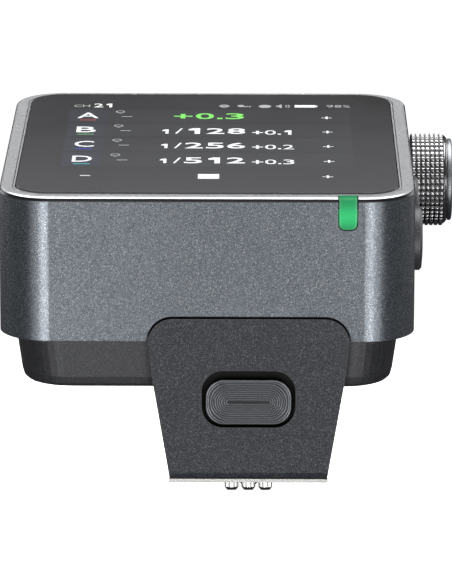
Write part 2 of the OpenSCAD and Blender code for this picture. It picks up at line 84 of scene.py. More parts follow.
# ---------------------------------------------------------------- placing and meshes
@dataclass(frozen=True)
class SlopedFrame:
    """The axes of the sloping case, with their origin at a point of the model.

    u runs to +X, v runs up the slope to the far side, w stands on the screen.
    """

    origin: np.ndarray
    tilt: float

    @classmethod
    def on_top_of(cls, node: str, tilt: float) -> "SlopedFrame":
        """A frame in the middle of a tilted plate's upper face.

        A plate of depth d and thickness h, tilted by t, fills a box d cos t + h sin t deep
        and d sin t + h cos t high, so both follow from the box.

        Args:
            node: the plate's CAD node.
            tilt: its slope in radians.
        Returns:
            The frame.
        """
        low, high = (np.array(c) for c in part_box(node))
        size = high - low
        c, s = math.cos(tilt), math.sin(tilt)
        depth, thick = np.linalg.solve(np.array([[c, s], [s, c]]), size[1:])
        up = np.array([0.0, -s, c])
        return cls((low + high) / 2 + up * thick / 2, tilt)

    def world(self, points: np.ndarray) -> np.ndarray:
        """Model points of case points.

        origin + u X + v (0, cos t, sin t) + w (0, -sin t, cos t).

        Args:
            points: (..., 3) array of u, v, w in millimetres.
        Returns:
            The same shape in metres, in the model's frame.
        """
        c, s = math.cos(self.tilt), math.sin(self.tilt)
        axes = np.array([[1, 0, 0], [0, c, s], [0, -s, c]])
        return self.origin + points @ axes * MM


def grid_quads(rows: int, cols: int, around: bool) -> np.ndarray:
    """Corner numbers of the quads of a grid of points.

    Args:
        rows: points along the first parameter.
        cols: points along the second parameter.
        around: whether the second parameter closes on itself.
    Returns:
        (n, 4) array: point (i, j), (i, j+1), (i+1, j+1), (i+1, j) for each cell.
    """
    i, j = np.meshgrid(np.arange(rows - 1), np.arange(cols if around else cols - 1), indexing="ij")
    k = (j + 1) % cols
    return np.stack([i * cols + j, i * cols + k, (i + 1) * cols + k, (i + 1) * cols + j], -1).reshape(-1, 4)


def solid_of(name: str, points: np.ndarray, faces: np.ndarray, tone: np.ndarray) -> bpy.types.Object:
    """An object made of computed points, with poles merged and faces turned outwards.

    Args:
        name: the piece's name.
        points: (n, 3) metres.
        faces: (m, 4) corner numbers.
        tone: n values of painted shade, 0 at the bottom of a groove and 1 on the surface.
    Returns:
        The object, linked to the scene.
    """
    mesh = bpy.data.meshes.new(name)
    mesh.from_pydata(points.tolist(), [], faces.tolist())
    mesh.attributes.new("tone", "FLOAT", "POINT").data.foreach_set("value", tone.astype(np.float32))
    work = bmesh.new()
    work.from_mesh(mesh)
    bmesh.ops.remove_doubles(work, verts=work.verts, dist=1e-7)
    bmesh.ops.dissolve_degenerate(work, edges=work.edges, dist=1e-8)
    bmesh.ops.recalc_face_normals(work, faces=work.faces)
    work.to_mesh(mesh)
    work.free()
    mesh.polygons.foreach_set("use_smooth", np.ones(len(mesh.polygons), bool))
    piece = bpy.data.objects.new(name, mesh)
    bpy.context.scene.collection.objects.link(piece)
    return piece


def flat_of(name: str, outlines: list[tuple[np.ndarray, np.ndarray]]) -> bpy.types.Object:
    """An object of flat sheets, each given by its points and its faces.

    Args:
        name: the piece's name.
        outlines: (points, faces) of each sheet.
    Returns:
        The object, linked to the scene.
    """
    points, faces, start = [], [], 0
    for sheet_points, sheet_faces in outlines:
        points += sheet_points.tolist()
        faces += [[start + k for k in f] for f in sheet_faces]
        start += len(sheet_points)
    mesh = bpy.data.meshes.new(name)
    mesh.from_pydata(points, [], faces)
    piece = bpy.data.objects.new(name, mesh)
    bpy.context.scene.collection.objects.link(piece)
    return piece


def smoothstep(low: float, high: float, x: np.ndarray) -> np.ndarray:
    """3t^2 - 2t^3 of t = (x - low) / (high - low), held between 0 and 1."""
    t = np.clip((x - low) / (high - low), 0, 1)
    return t * t * (3 - 2 * t)


def press_slope() -> float:
    """The case's slope, read from the test key's travel, in radians."""
    axis = next(j["axis"] for j in frame["record"]["behaviour"]["joints"] if j["name"] == "test_key_press")
    return math.atan2(axis[2], axis[1])


GLASS_PROUD = 0.2 * MM
GLASS_CORNER = 4.0
TILT = press_slope()
ON_GLASS = SlopedFrame.on_top_of("cover_glass", TILT)
ACROSS_RIM = (0.0, -math.sin(TILT), math.cos(TILT))
RIM_LEVEL = float(ON_GLASS.origin @ np.array(ACROSS_RIM)) - GLASS_PROUD


# ---------------------------------------------------------------- shader groups
class Group:
    """A shader node group under construction, with short ways to add nodes and links."""

    def __init__(self, name: str, inputs: dict[str, tuple[str, object]], outputs: dict[str, str]) -> None:
        """Makes the group and its sockets.

        Args:
            name: the group's name.
            inputs: socket name to (kind, default); kind is Float, Vector or Color.
            outputs: socket name to kind.
        """
        self.tree = bpy.data.node_groups.new(name, "ShaderNodeTree")
        for title, (kind, value) in inputs.items():
            made = self.tree.interface.new_socket(name=title, in_out="INPUT", socket_type=f"NodeSocket{kind}")
            if value is not None:
                made.default_value = value
        for title, kind in outputs.items():
            self.tree.interface.new_socket(name=title, in_out="OUTPUT", socket_type=f"NodeSocket{kind}")
        self.source = self.tree.nodes.new("NodeGroupInput")
        self.sink = self.tree.nodes.new("NodeGroupOutput")

    def add(self, kind: str, **settings: object) -> bpy.types.Node:
        """A new node with its settings."""
        node = self.tree.nodes.new(kind)
        for key, value in settings.items():
            setattr(node, key, value)
        return node

    def join(self, start: object, end: object) -> None:
        """Links an output socket, or a plain number, to an input socket."""
        if isinstance(start, bpy.types.NodeSocket):
            self.tree.links.new(start, end)
        else:
            end.default_value = start

    def given(self, title: str) -> bpy.types.NodeSocket:
        """The group's own input."""
        return self.source.outputs[title]

    def give(self, value: bpy.types.NodeSocket, title: str) -> None:
        """Sends a value to the group's output."""
        self.tree.links.new(value, self.sink.inputs[title])

    def sum(self, operation: str, a: object, b: object, clamp: bool = False) -> bpy.types.NodeSocket:
        """The result of a Math node."""
        node = self.add("ShaderNodeMath", operation=operation, use_clamp=clamp)
        self.join(a, node.inputs[0])
        self.join(b, node.inputs[1])
        return node.outputs[0]

    def blend(self, factor: object, a: object, b: object, mode: str = "MIX") -> bpy.types.NodeSocket:
        """The result of a colour Mix node."""
        node = self.add("ShaderNodeMix", data_type="RGBA", blend_type=mode)
        self.join(factor, node.inputs[0])
        self.join(a, node.inputs[6])
        self.join(b, node.inputs[7])
        return node.outputs[2]

    def ramp(self, value: object, low: object, high: object,
             to_low: float = 0.0, to_high: float = 1.0) -> bpy.types.NodeSocket:
        """A value mapped smoothly from one span to another."""
        node = self.add("ShaderNodeMapRange", interpolation_type="SMOOTHSTEP")
        for socket, item in zip(node.inputs[:5], (value, low, high, to_low, to_high)):
            self.join(item, socket)
        return node.outputs[0]


class ShaderGroups:
    """The effects that several finishes share, each built once."""

    def __init__(self) -> None:
        """Builds the groups."""
        self.flake = self._flake().tree
        self.soft_edge = self._soft_edge().tree
        self.handling = self._handling().tree
        self.strokes = self._strokes().tree

    def _flake(self) -> Group:
        """Metal flake: random cells, a few of which shine brighter than the paint around them."""
        g = Group("metal_flake", {
            "Vector": ("Vector", None), "Scale": ("Float", 9000.0), "Share": ("Float", 0.1),
            "Spread": ("Float", 0.2), "Base": ("Color", (0.1, 0.1, 0.1, 1)),
            "Flake": ("Color", (0.6, 0.6, 0.6, 1)),
        }, {"Color": "Color", "Mask": "Float", "Height": "Float"})
        cells = g.add("ShaderNodeTexVoronoi")
        g.join(g.given("Vector"), cells.inputs["Vector"])
        g.join(g.given("Scale"), cells.inputs["Scale"])
        parts = g.add("ShaderNodeSeparateColor")
        g.join(cells.outputs["Color"], parts.inputs[0])
        chosen = g.ramp(parts.outputs[0], g.sum("SUBTRACT", 1.0, g.given("Share")), 1.0)
        mask = g.sum("MULTIPLY", chosen, g.sum("POWER", parts.outputs[1], 1.6))
        swing = g.sum("MULTIPLY", g.sum("SUBTRACT", parts.outputs[2], 0.5), g.given("Spread"))
        bright = g.add("ShaderNodeHueSaturation")
        g.join(g.sum("ADD", 1.0, swing), bright.inputs["Value"])
        g.join(g.given("Base"), bright.inputs["Color"])
        g.give(g.blend(mask, bright.outputs[0], g.given("Flake")), "Color")
        g.give(mask, "Mask")
        g.give(parts.outputs[2], "Height")
        return g

    def _soft_edge(self) -> Group:
        """Rounded edges: a normal averaged over a small radius, and a mask of where it turns."""
        g = Group("soft_edge", {"Radius": ("Float", 0.0001), "Gain": ("Float", 3.0)},
                  {"Normal": "Vector", "Mask": "Float"})
        rounded = g.add("ShaderNodeBevel", samples=6)
        g.join(g.given("Radius"), rounded.inputs["Radius"])
        own = g.add("ShaderNodeNewGeometry")
        along = g.add("ShaderNodeVectorMath", operation="DOT_PRODUCT")
        g.join(rounded.outputs[0], along.inputs[0])
        g.join(own.outputs["Normal"], along.inputs[1])
        turn = g.sum("SUBTRACT", 1.0, along.outputs["Value"])
        g.give(g.sum("MULTIPLY", turn, g.given("Gain"), clamp=True), "Mask")
        g.give(rounded.outputs[0], "Normal")
        return g

    def _handling(self) -> Group:
        """Handling marks: slow patches with finer ones on them, about a middle of 0.5."""
        g = Group("handling_marks", {"Vector": ("Vector", None), "Scale": ("Float", 120.0)},
                  {"Value": "Float", "Fine": "Float"})
        slow = g.add("ShaderNodeTexNoise")
        slow.inputs["Detail"].default_value = 4
        slow.inputs["Roughness"].default_value = 0.6
        g.join(g.given("Vector"), slow.inputs["Vector"])
        g.join(g.given("Scale"), slow.inputs["Scale"])
        fine = g.add("ShaderNodeTexNoise")
        fine.inputs["Detail"].default_value = 2
        g.join(g.given("Vector"), fine.inputs["Vector"])
        g.join(g.sum("MULTIPLY", g.given("Scale"), 22.0), fine.inputs["Scale"])
        g.give(slow.outputs[0], "Value")
        g.give(fine.outputs[0], "Fine")
        return g

    def _strokes(self) -> Group:
        """Brushed strokes: noise drawn out along one axis by the stretched Vector it is given."""
        g = Group("brushed_strokes", {"Vector": ("Vector", None), "Stretch": ("Vector", (1, 1, 1)),
                                      "Base": ("Color", (0.5, 0.5, 0.5, 1)), "Spread": ("Float", 0.3)},
                  {"Color": "Color", "Height": "Float"})
        drawn = g.add("ShaderNodeVectorMath", operation="MULTIPLY")
        g.join(g.given("Vector"), drawn.inputs[0])
        g.join(g.given("Stretch"), drawn.inputs[1])
        noise = g.add("ShaderNodeTexNoise")
        noise.inputs["Detail"].default_value = 3
        noise.inputs["Scale"].default_value = 1.0
        g.join(drawn.outputs[0], noise.inputs["Vector"])
        bright = g.add("ShaderNodeHueSaturation")
        swing = g.sum("MULTIPLY", g.sum("SUBTRACT", noise.outputs[0], 0.5), g.given("Spread"))
        g.join(g.sum("ADD", 1.0, swing), bright.inputs["Value"])
        g.join(g.given("Base"), bright.inputs["Color"])
        g.give(bright.outputs[0], "Color")
        g.give(noise.outputs[0], "Height")
        return g


# ---------------------------------------------------------------- finishes
class Maker:
    """A material under construction around one Principled shader."""

    def __init__(self, name: str, groups: ShaderGroups) -> None:
        """Starts an empty material.

        Args:
            name: the material's name.
            groups: the shared effects.
        """
        self.material = bpy.data.materials.new(name)
        self.material.use_nodes = True
        self.tree = self.material.node_tree
        self.shader = self.tree.nodes["Principled BSDF"]
        self.groups = groups
        self.place = self.tree.nodes.new("ShaderNodeTexCoord").outputs["Object"]

    def constant(self, **values: object) -> None:
        """Sets plain values on the shader's own sockets, spaces written as underscores."""
        for key, value in values.items():
            self.shader.inputs[key.replace("_", " ")].default_value = value

    def effect(self, tree: bpy.types.NodeTree, **values: object) -> bpy.types.Node:
        """Places a shared group, fed with Object coordinates where it takes a Vector."""
        node = self.tree.nodes.new("ShaderNodeGroup")
        node.node_tree = tree
        if "Vector" in node.inputs:
            self.link(self.place, node.inputs["Vector"])
        for key, value in values.items():
            node.inputs[key].default_value = value
        return node

    def link(self, start: bpy.types.NodeSocket, end: object) -> None:
        """Links a socket to another, or to a shader input by name."""
        self.tree.links.new(start, self.shader.inputs[end] if isinstance(end, str) else end)

    def span(self, value: bpy.types.NodeSocket, low: float, high: float, end: object) -> None:
        """Sends a 0 to 1 value to a socket as low to high."""
        node = self.tree.nodes.new("ShaderNodeMapRange")
        node.inputs[3].default_value, node.inputs[4].default_value = low, high
        self.link(value, node.inputs[0])
        self.link(node.outputs[0], end)

    def mix(self, mask: bpy.types.NodeSocket, a: object, b: object) -> bpy.types.NodeSocket:
        """A colour between a and b."""
        node = self.tree.nodes.new("ShaderNodeMix")
        node.data_type = "RGBA"
        self.link(mask, node.inputs[0])
        for item, socket in ((a, node.inputs[6]), (b, node.inputs[7])):
            if isinstance(item, bpy.types.NodeSocket):
                self.link(item, socket)
            else:
                socket.default_value = (*item, 1)
        return node.outputs[2]

    def band(self, low: float, high: float) -> bpy.types.NodeSocket:
        """A mask that rises from 0 to 1 between two heights over the rim's plane, in millimetres."""
        along = self.tree.nodes.new("ShaderNodeVectorMath")
        along.operation, along.inputs[1].default_value = "DOT_PRODUCT", ACROSS_RIM
        self.link(self.place, along.inputs[0])
        node = self.tree.nodes.new("ShaderNodeMapRange")
        node.interpolation_type = "SMOOTHSTEP"
        node.inputs[1].default_value = RIM_LEVEL + low * MM
        node.inputs[2].default_value = RIM_LEVEL + high * MM
        self.link(along.outputs["Value"], node.inputs[0])
        return node.outputs[0]

    def times(self, a: bpy.types.NodeSocket, b: bpy.types.NodeSocket) -> bpy.types.NodeSocket:
        """The product of two masks."""
        node = self.tree.nodes.new("ShaderNodeMath")
        node.operation = "MULTIPLY"
        self.link(a, node.inputs[0])
        self.link(b, node.inputs[1])
        return node.outputs[0]

    def tone(self) -> bpy.types.NodeSocket:
        """The piece's painted groove shade, from its tone attribute."""
        node = self.tree.nodes.new("ShaderNodeAttribute")
        node.attribute_name = "tone"
        return node.outputs["Fac"]

    def bump(self, height: bpy.types.NodeSocket, depth: float,
             under: bpy.types.NodeSocket | None = None) -> None:
        """Raises the surface by a height of 0 to 1 times depth in metres, over another normal."""
        node = self.tree.nodes.new("ShaderNodeBump")
        node.inputs["Distance"].default_value = depth
        node.inputs["Strength"].default_value = 1.0
        self.link(height, node.inputs["Height"])
        if under is not None:
            self.link(under, node.inputs["Normal"])
        self.link(node.outputs[0], "Normal")


@dataclass(frozen=True)
class Finish:
    """A surface finish: its name, colour and roughness."""

    name: str
    color: tuple[float, float, float]
    rough: float = 0.5

    def build(self, groups: ShaderGroups) -> bpy.types.Material:
        """The finish's material."""
        maker = Maker(self.name, groups)
        self.paint(maker)
        return maker.material

    def paint(self, maker: Maker) -> None:
        """Adds this finish's nodes to a material."""
        marks = maker.effect(maker.groups.handling, Scale=260.0)
        maker.link(maker.mix(marks.outputs["Value"], [c * 0.8 for c in self.color], self.color), "Base Color")
        maker.span(marks.outputs["Fine"], self.rough - 0.08, self.rough + 0.08, "Roughness")


@dataclass(frozen=True)
class SpeckledFinish(Finish):
    """Paint or moulded plastic with metal flake in it, and a painted highlight along its rounded edges."""

    flake: tuple[float, float, float] = (0.6, 0.6, 0.6)
    share: float = 0.1
    spread: float = 0.3
    scale: float = 9000.0
    metallic: float = 0.0
    # The edge colour is a painted highlight along rounded edges.
    edge: tuple[float, float, float] = (0.4, 0.4, 0.4)
    edge_gain: float = 1.5
    edge_radius: float = 0.00012
    depth: float = 0.0000015
    specular: float = 0.5
    groove: tuple[float, float, float] | None = None
    # The rim colour is painted light on the rim's top around the glass; the lip colour is painted shade on the
    # rim's fillet.
    rim: tuple[float, float, float] | None = None
    lip_painted_shade: tuple[float, float, float] = (0.05, 0.05, 0.05)

    def paint(self, maker: Maker) -> None:
        """Flake colour under a painted highlight along the rounded edges, grain in the normal, patchy
        roughness.

        A groove colour paints shade into the bottoms of a ribbed piece, and a rim colour paints
        light on the top of the rim around the glass, with painted shade on the lip under it.
        """
        flake = maker.effect(maker.groups.flake, Scale=self.scale, Share=self.share, Spread=self.spread,
                             Base=(*self.color, 1), Flake=(*self.flake, 1))
        edge = maker.effect(maker.groups.soft_edge, Radius=self.edge_radius, Gain=self.edge_gain)
        marks = maker.effect(maker.groups.handling, Scale=90.0)
        # Painted highlight: the edge colour laid over the flake where the soft-edge mask turns.
        color = maker.mix(edge.outputs["Mask"], flake.outputs["Color"], self.edge)
        # Painted shade: the groove colour darkens the groove bottoms by the piece's tone.
        if self.groove is not None:
            color = maker.mix(maker.tone(), self.groove, color)
        # Painted light on the rim's top and painted shade on the outer half of its fillet, laid by height over
        # the rim's plane.
        if self.rim is not None:
            rim_painted_light_flake = maker.effect(maker.groups.flake, Scale=self.scale * 0.8, Share=0.3, Spread=0.35,
                                  Base=(*self.rim, 1), Flake=(*[c * 0.8 for c in self.rim], 1))
            color = maker.mix(maker.band(-0.56, -0.46), color, self.lip_painted_shade)
            color = maker.mix(maker.band(-0.17, -0.09), color, rim_painted_light_flake.outputs["Color"])
        maker.link(color, "Base Color")
        maker.span(marks.outputs["Value"], self.rough - 0.03, self.rough + 0.03, "Roughness")
        maker.bump(flake.outputs["Height"], self.depth, edge.outputs["Normal"])
        maker.constant(Metallic=self.metallic, Specular_IOR_Level=self.specular)


@dataclass(frozen=True)
class MetalFinish(Finish):
    """Brushed, turned or plated metal, its strokes drawn out along the axis of smallest stretch."""

    stretch: tuple[float, float, float] = (3000.0, 3000.0, 3000.0)
    spread: float = 0.3
    depth: float = 0.000002
    edge_radius: float = 0.00006
    groove: tuple[float, float, float] | None = None

    def paint(self, maker: Maker) -> None:
        """Stroke colour and height, smudged roughness, softened edges, painted shade in the grooves."""
        strokes = maker.effect(maker.groups.strokes, Stretch=self.stretch, Spread=self.spread,
                               Base=(*self.color, 1))
        edge = maker.effect(maker.groups.soft_edge, Radius=self.edge_radius, Gain=1.0)
        marks = maker.effect(maker.groups.handling, Scale=300.0)
        color = strokes.outputs["Color"]
        # Painted shade: the groove colour darkens the groove bottoms by the piece's tone.
        if self.groove is not None:
            color = maker.mix(maker.tone(), self.groove, color)
        maker.link(color, "Base Color")
        maker.span(marks.outputs["Value"], max(self.rough - 0.07, 0.03), self.rough + 0.07, "Roughness")
        maker.bump(strokes.outputs["Height"], self.depth, edge.outputs["Normal"])
        maker.constant(Metallic=1.0)


@dataclass(frozen=True)
class GlossFinish(Finish):
    """Polished plastic with a painted highlight at its edges, a painted lit band across its middle and a
    painted glow.
    """

    # The rim colour is a painted highlight on the edges, the middle colour a painted lit band, and the glow a
    # painted glow; the key is no lamp.
    rim: tuple[float, float, float] = (0.3, 0.9, 0.5)
    middle_painted_shading: tuple[float, float, float] = (0.04, 0.65, 0.2)
    depth_scale: float = 0.0004
    scatter: float = 0.35
    glow: float = 0.0
    edge_radius: float = 0.00035

    def paint(self, maker: Maker) -> None:
        """A painted highlight on the edges, a painted lit band, a scattering body and a clear coat."""
        edge = maker.effect(maker.groups.soft_edge, Radius=self.edge_radius, Gain=1.4)
        marks = maker.effect(maker.groups.handling, Scale=400.0)
        body = maker.mix(marks.outputs["Value"], [c * 0.85 for c in self.color], self.color)
        # Painted light: a lighter band at set heights below the rim's plane.
        middle_painted_shading = maker.times(maker.band(-3.9, -2.3), maker.band(-0.3, -2.1))
        color = maker.mix(edge.outputs["Mask"], maker.mix(middle_painted_shading, body, self.middle_painted_shading), self.rim)
        maker.link(color, "Base Color")
        maker.link(edge.outputs["Normal"], "Normal")
        maker.span(marks.outputs["Fine"], self.rough - 0.03, self.rough + 0.05, "Roughness")
        maker.constant(Subsurface_Weight=self.scatter, Subsurface_Scale=self.depth_scale,
                       Subsurface_Radius=(0.4, 1.0, 0.5), Coat_Weight=0.6, Coat_Roughness=0.06)
        # Painted glow: the key is no lamp.
        if self.glow:
            maker.link(color, "Emission Color")
            maker.constant(Emission_Strength=self.glow)


@dataclass(frozen=True)
class ScreenFinish(Finish):
    """Etched cover glass over a lit panel: a dim glow, with painted light that is brighter at the near edge
    and fades up the slope.
    """

    # The first colour is painted light at the near edge and far is painted shade at the far edge; the fade
    # span sets where along Y one turns into the other.
    far: tuple[float, float, float] = (0.05, 0.05, 0.05)
    painted_light_fade: tuple[float, float] = (-0.02, 0.035)
    glow: float = 0.5
    specular: float = 0.3
    # The edge colour is a painted highlight on the glass's rounded edge.
    edge: tuple[float, float, float] = (0.3, 0.3, 0.31)

    def paint(self, maker: Maker) -> None:
        """Painted light from near to far along Y, faint smears, a painted highlight on the rounded edge."""
        split = maker.tree.nodes.new("ShaderNodeSeparateXYZ")
        maker.link(maker.place, split.inputs[0])
        painted_light_fade = maker.tree.nodes.new("ShaderNodeMapRange")
        painted_light_fade.inputs[1].default_value, painted_light_fade.inputs[2].default_value = self.painted_light_fade
        maker.link(split.outputs[1], painted_light_fade.inputs[0])
        marks = maker.effect(maker.groups.handling, Scale=60.0)
        edge = maker.effect(maker.groups.soft_edge, Radius=0.00012, Gain=1.0)
        # tone is painted light, brighter near and darker far, and it also drives the glow.
        tone = maker.mix(painted_light_fade.outputs[0], self.color, self.far)
        smeared = maker.mix(marks.outputs["Value"], tone, [c * 1.06 for c in self.color])
        # Painted highlight: the edge colour on the rounded edge.
        maker.link(maker.mix(edge.outputs["Mask"], smeared, self.edge), "Base Color")
        maker.link(tone, "Emission Color")
        maker.link(edge.outputs["Normal"], "Normal")
        maker.span(marks.outputs["Value"], self.rough - 0.04, self.rough + 0.04, "Roughness")
        maker.constant(Emission_Strength=self.glow, Specular_IOR_Level=self.specular)


@dataclass(frozen=True)
class InkFinish(Finish):
    """Light from the panel's dots: a lit colour crossed by the fine grid between the dots."""

    glow: float = 0.7
    pitch: float = 0.00012

    def paint(self, maker: Maker) -> None:
        """A grid of dots in Object X and Y drives the colour and the glow."""
        bands = maker.tree.nodes.new("ShaderNodeTexBrick")
        bands.offset, bands.inputs["Scale"].default_value = 0.0, 1.0
        bands.inputs["Brick Width"].default_value = self.pitch
        bands.inputs["Row Height"].default_value = self.pitch
        bands.inputs["Mortar Size"].default_value = self.pitch * 0.08
        bands.inputs["Color1"].default_value = (*self.color, 1)
        bands.inputs["Color2"].default_value = (*[c * 0.94 for c in self.color], 1)
        bands.inputs["Mortar"].default_value = (*[c * 0.6 for c in self.color], 1)
        maker.link(maker.place, bands.inputs["Vector"])
        maker.link(bands.outputs["Color"], "Base Color")
        maker.link(bands.outputs["Color"], "Emission Color")
        maker.constant(Emission_Strength=self.glow, Roughness=self.rough, Specular_IOR_Level=0.2)


@dataclass(frozen=True)
class BoardFinish(Finish):
    """Green solder mask over copper tracks."""

    track: tuple[float, float, float] = (0.06, 0.30, 0.14)

    def paint(self, maker: Maker) -> None:
        """Square cell borders stand for tracks."""
        cells = maker.tree.nodes.new("ShaderNodeTexVoronoi")
        cells.distance, cells.feature = "CHEBYCHEV", "F1"
        cells.inputs["Scale"].default_value = 700.0
        maker.link(maker.place, cells.inputs["Vector"])
        near = maker.tree.nodes.new("ShaderNodeMath")
        near.operation, near.inputs[1].default_value = "GREATER_THAN", 0.42
        maker.link(cells.outputs["Distance"], near.inputs[0])
        marks = maker.effect(maker.groups.handling, Scale=500.0)
        maker.link(maker.mix(near.outputs[0], self.color, self.track), "Base Color")
        maker.span(marks.outputs["Value"], self.rough - 0.1, self.rough + 0.1, "Roughness")
        maker.bump(near.outputs[0], 0.00003)


class Finishes(Enum):
    """Every finish on the trigger."""

    # Each edge colour below is a painted highlight along rounded edges.
    SHELL = SpeckledFinish("shell_paint", (0.099, 0.112, 0.129), 0.27, flake=(0.46, 0.47, 0.48), share=0.50,
                           spread=0.85, metallic=0.65, edge=(0.46, 0.47, 0.49), edge_gain=0.8, scale=14500.0,
                           # SHELL's rim colour is painted light on the rim's top, and its lip colour is
                           # painted shade on the rim's fillet.
                           rim=(0.86, 0.87, 0.89), lip_painted_shade=(0.035, 0.037, 0.041))
    UNDER = SpeckledFinish("under_shell_paint", (0.034, 0.035, 0.039), 0.40, flake=(0.11, 0.11, 0.12),
                           share=0.5, spread=0.5, metallic=0.25, edge=(0.1, 0.1, 0.1), scale=11000.0)
    NECK = SpeckledFinish("neck_paint", (0.018, 0.020, 0.025), 0.50, flake=(0.20, 0.21, 0.23), share=0.5,
                          spread=1.0, specular=0.3, metallic=0.1, edge=(0.34, 0.34, 0.35), edge_gain=2.5,
                          edge_radius=0.00012,
                          scale=14000.0)
    # SCREEN, ROW and CELL: the first colour is painted light at the near edge, far is painted shade, and the
    # edge colour is a painted highlight.
    SCREEN = ScreenFinish("screen_glass", (0.064, 0.064, 0.067), 0.18, far=(0.010, 0.0097, 0.0097))
    ROW = ScreenFinish("row_band", (0.067, 0.068, 0.072), 0.18, far=(0.018, 0.018, 0.019))
    CELL = ScreenFinish("row_letter_cell", (0.068, 0.071, 0.082), 0.18, far=(0.018, 0.019, 0.022))
    # TEST: painted highlight at its edges, a painted lit band across its middle and a painted glow.
    TEST = GlossFinish("test_key_green", (0.018, 0.38, 0.125), 0.12, rim=(0.22, 0.72, 0.40),
                       middle_painted_shading=(0.035, 0.62, 0.20), glow=0.16, scatter=0.12)
    # DIAL: its groove colour is painted shade in the knurl's grooves.
    DIAL = MetalFinish("dial_metal", (0.56, 0.55, 0.56), 0.24, stretch=(1500.0, 1500.0, 1500.0), spread=0.1,
                       depth=0.0, edge_radius=0.00002, groove=(0.045, 0.045, 0.047))
    CAP = MetalFinish("dial_cap_metal", (0.31, 0.32, 0.34), 0.40, stretch=(200.0, 2500.0, 2500.0), spread=0.12)
    KEY = SpeckledFinish("side_key_metal", (0.11, 0.112, 0.116), 0.44, flake=(0.3, 0.3, 0.3), share=0.1,
                         spread=0.1, metallic=0.5, edge=(0.4, 0.4, 0.4), edge_gain=1.0)
    RELEASE = SpeckledFinish("release_plastic", (0.028, 0.029, 0.032), 0.36, flake=(0.10, 0.10, 0.11),
                             share=0.1, spread=0.1, metallic=0.3, edge=(0.3, 0.3, 0.3), edge_gain=1.0)
    # RIBS: its groove colour is painted shade in the groove bottoms and at the middle of the face.
    RIBS = SpeckledFinish("release_ribs", (0.165, 0.175, 0.19), 0.28, flake=(0.16, 0.16, 0.17), share=0.1,
                          spread=0.1, metallic=0.3, edge=(0.2, 0.2, 0.2), edge_gain=0.5, edge_radius=0.00002,
                          groove=(0.004, 0.004, 0.005))
    # Black plastic darkened further as painted shade for the guide's deep hole.
    BLACK_PAINTED_SHADE = SpeckledFinish("black_plastic_painted_shade", (0.003, 0.003, 0.003), 0.6, flake=(0.01, 0.01, 0.01),
                          share=0.1, spread=0.2, edge=(0.03, 0.03, 0.03), edge_gain=0.5, specular=0.12)
    BLACK = SpeckledFinish("black_plastic", (0.010, 0.010, 0.010), 0.45, flake=(0.03, 0.03, 0.03),
                           share=0.1, spread=0.3, edge=(0.03, 0.03, 0.03))
    FOOT = MetalFinish("foot_plate_metal", (0.62, 0.61, 0.59), 0.24, stretch=(800.0, 9000.0, 9000.0))
    PINS = MetalFinish("contact_plating", (0.80, 0.80, 0.78), 0.14, stretch=(9000.0, 9000.0, 500.0),
                       spread=0.2)
    STEEL = MetalFinish("screw_steel", (0.48, 0.48, 0.48), 0.30, stretch=(6000.0, 6000.0, 6000.0))
    SPRING = MetalFinish("spring_steel", (0.40, 0.40, 0.42), 0.25, stretch=(4000.0, 4000.0, 9000.0))
    TIN = MetalFinish("tinned_sheet", (0.60, 0.60, 0.58), 0.35, stretch=(500.0, 4000.0, 4000.0))
    GOLD = MetalFinish("gold_plating", (0.80, 0.58, 0.22), 0.22)
    FOIL = MetalFinish("battery_foil", (0.62, 0.63, 0.66), 0.32, stretch=(900.0, 900.0, 4000.0), spread=0.5)
    FOAM = SpeckledFinish("black_foam", (0.02, 0.02, 0.02), 0.9, flake=(0.05, 0.05, 0.05), share=0.4,
                          scale=4000.0)
    PANEL = SpeckledFinish("display_backing", (0.10, 0.10, 0.11), 0.3, flake=(0.14, 0.14, 0.15), share=0.1)
    WHITE = SpeckledFinish("white_plastic", (0.72, 0.72, 0.70), 0.4, flake=(0.8, 0.8, 0.8), share=0.1,
                           spread=0.1, edge=(0.8, 0.8, 0.8))
    FLEX = SpeckledFinish("amber_film", (0.55, 0.25, 0.04), 0.3, flake=(0.7, 0.4, 0.1), share=0.1,
                          spread=0.2, edge=(0.6, 0.3, 0.1))
    WIRE = SpeckledFinish("red_sleeve", (0.45, 0.02, 0.02), 0.4, flake=(0.6, 0.1, 0.1), share=0.1,
                          spread=0.2, edge=(0.5, 0.1, 0.1))
    BOARD = BoardFinish("solder_mask", (0.01, 0.11, 0.04), 0.35)
    INK_WHITE = InkFinish("ink_white", (0.60, 0.615, 0.62), 0.4, glow=0.95)
    INK_SOFT = InkFinish("ink_soft_white", (0.32, 0.33, 0.33), 0.4, glow=0.6)
    INK_GREEN = InkFinish("ink_green", (0.165, 0.56, 0.11), 0.4, glow=0.72)
    INK_RED = InkFinish("ink_red", (0.30, 0.045, 0.045), 0.4, glow=0.6)
    INK_LEAF = InkFinish("ink_leaf", (0.10, 0.30, 0.10), 0.4, glow=0.6)
    INK_BLUE = InkFinish("ink_blue", (0.045, 0.055, 0.36), 0.4, glow=0.6)
    INK_TEAL = InkFinish("ink_teal", (0.05, 0.30, 0.32), 0.4, glow=0.6)


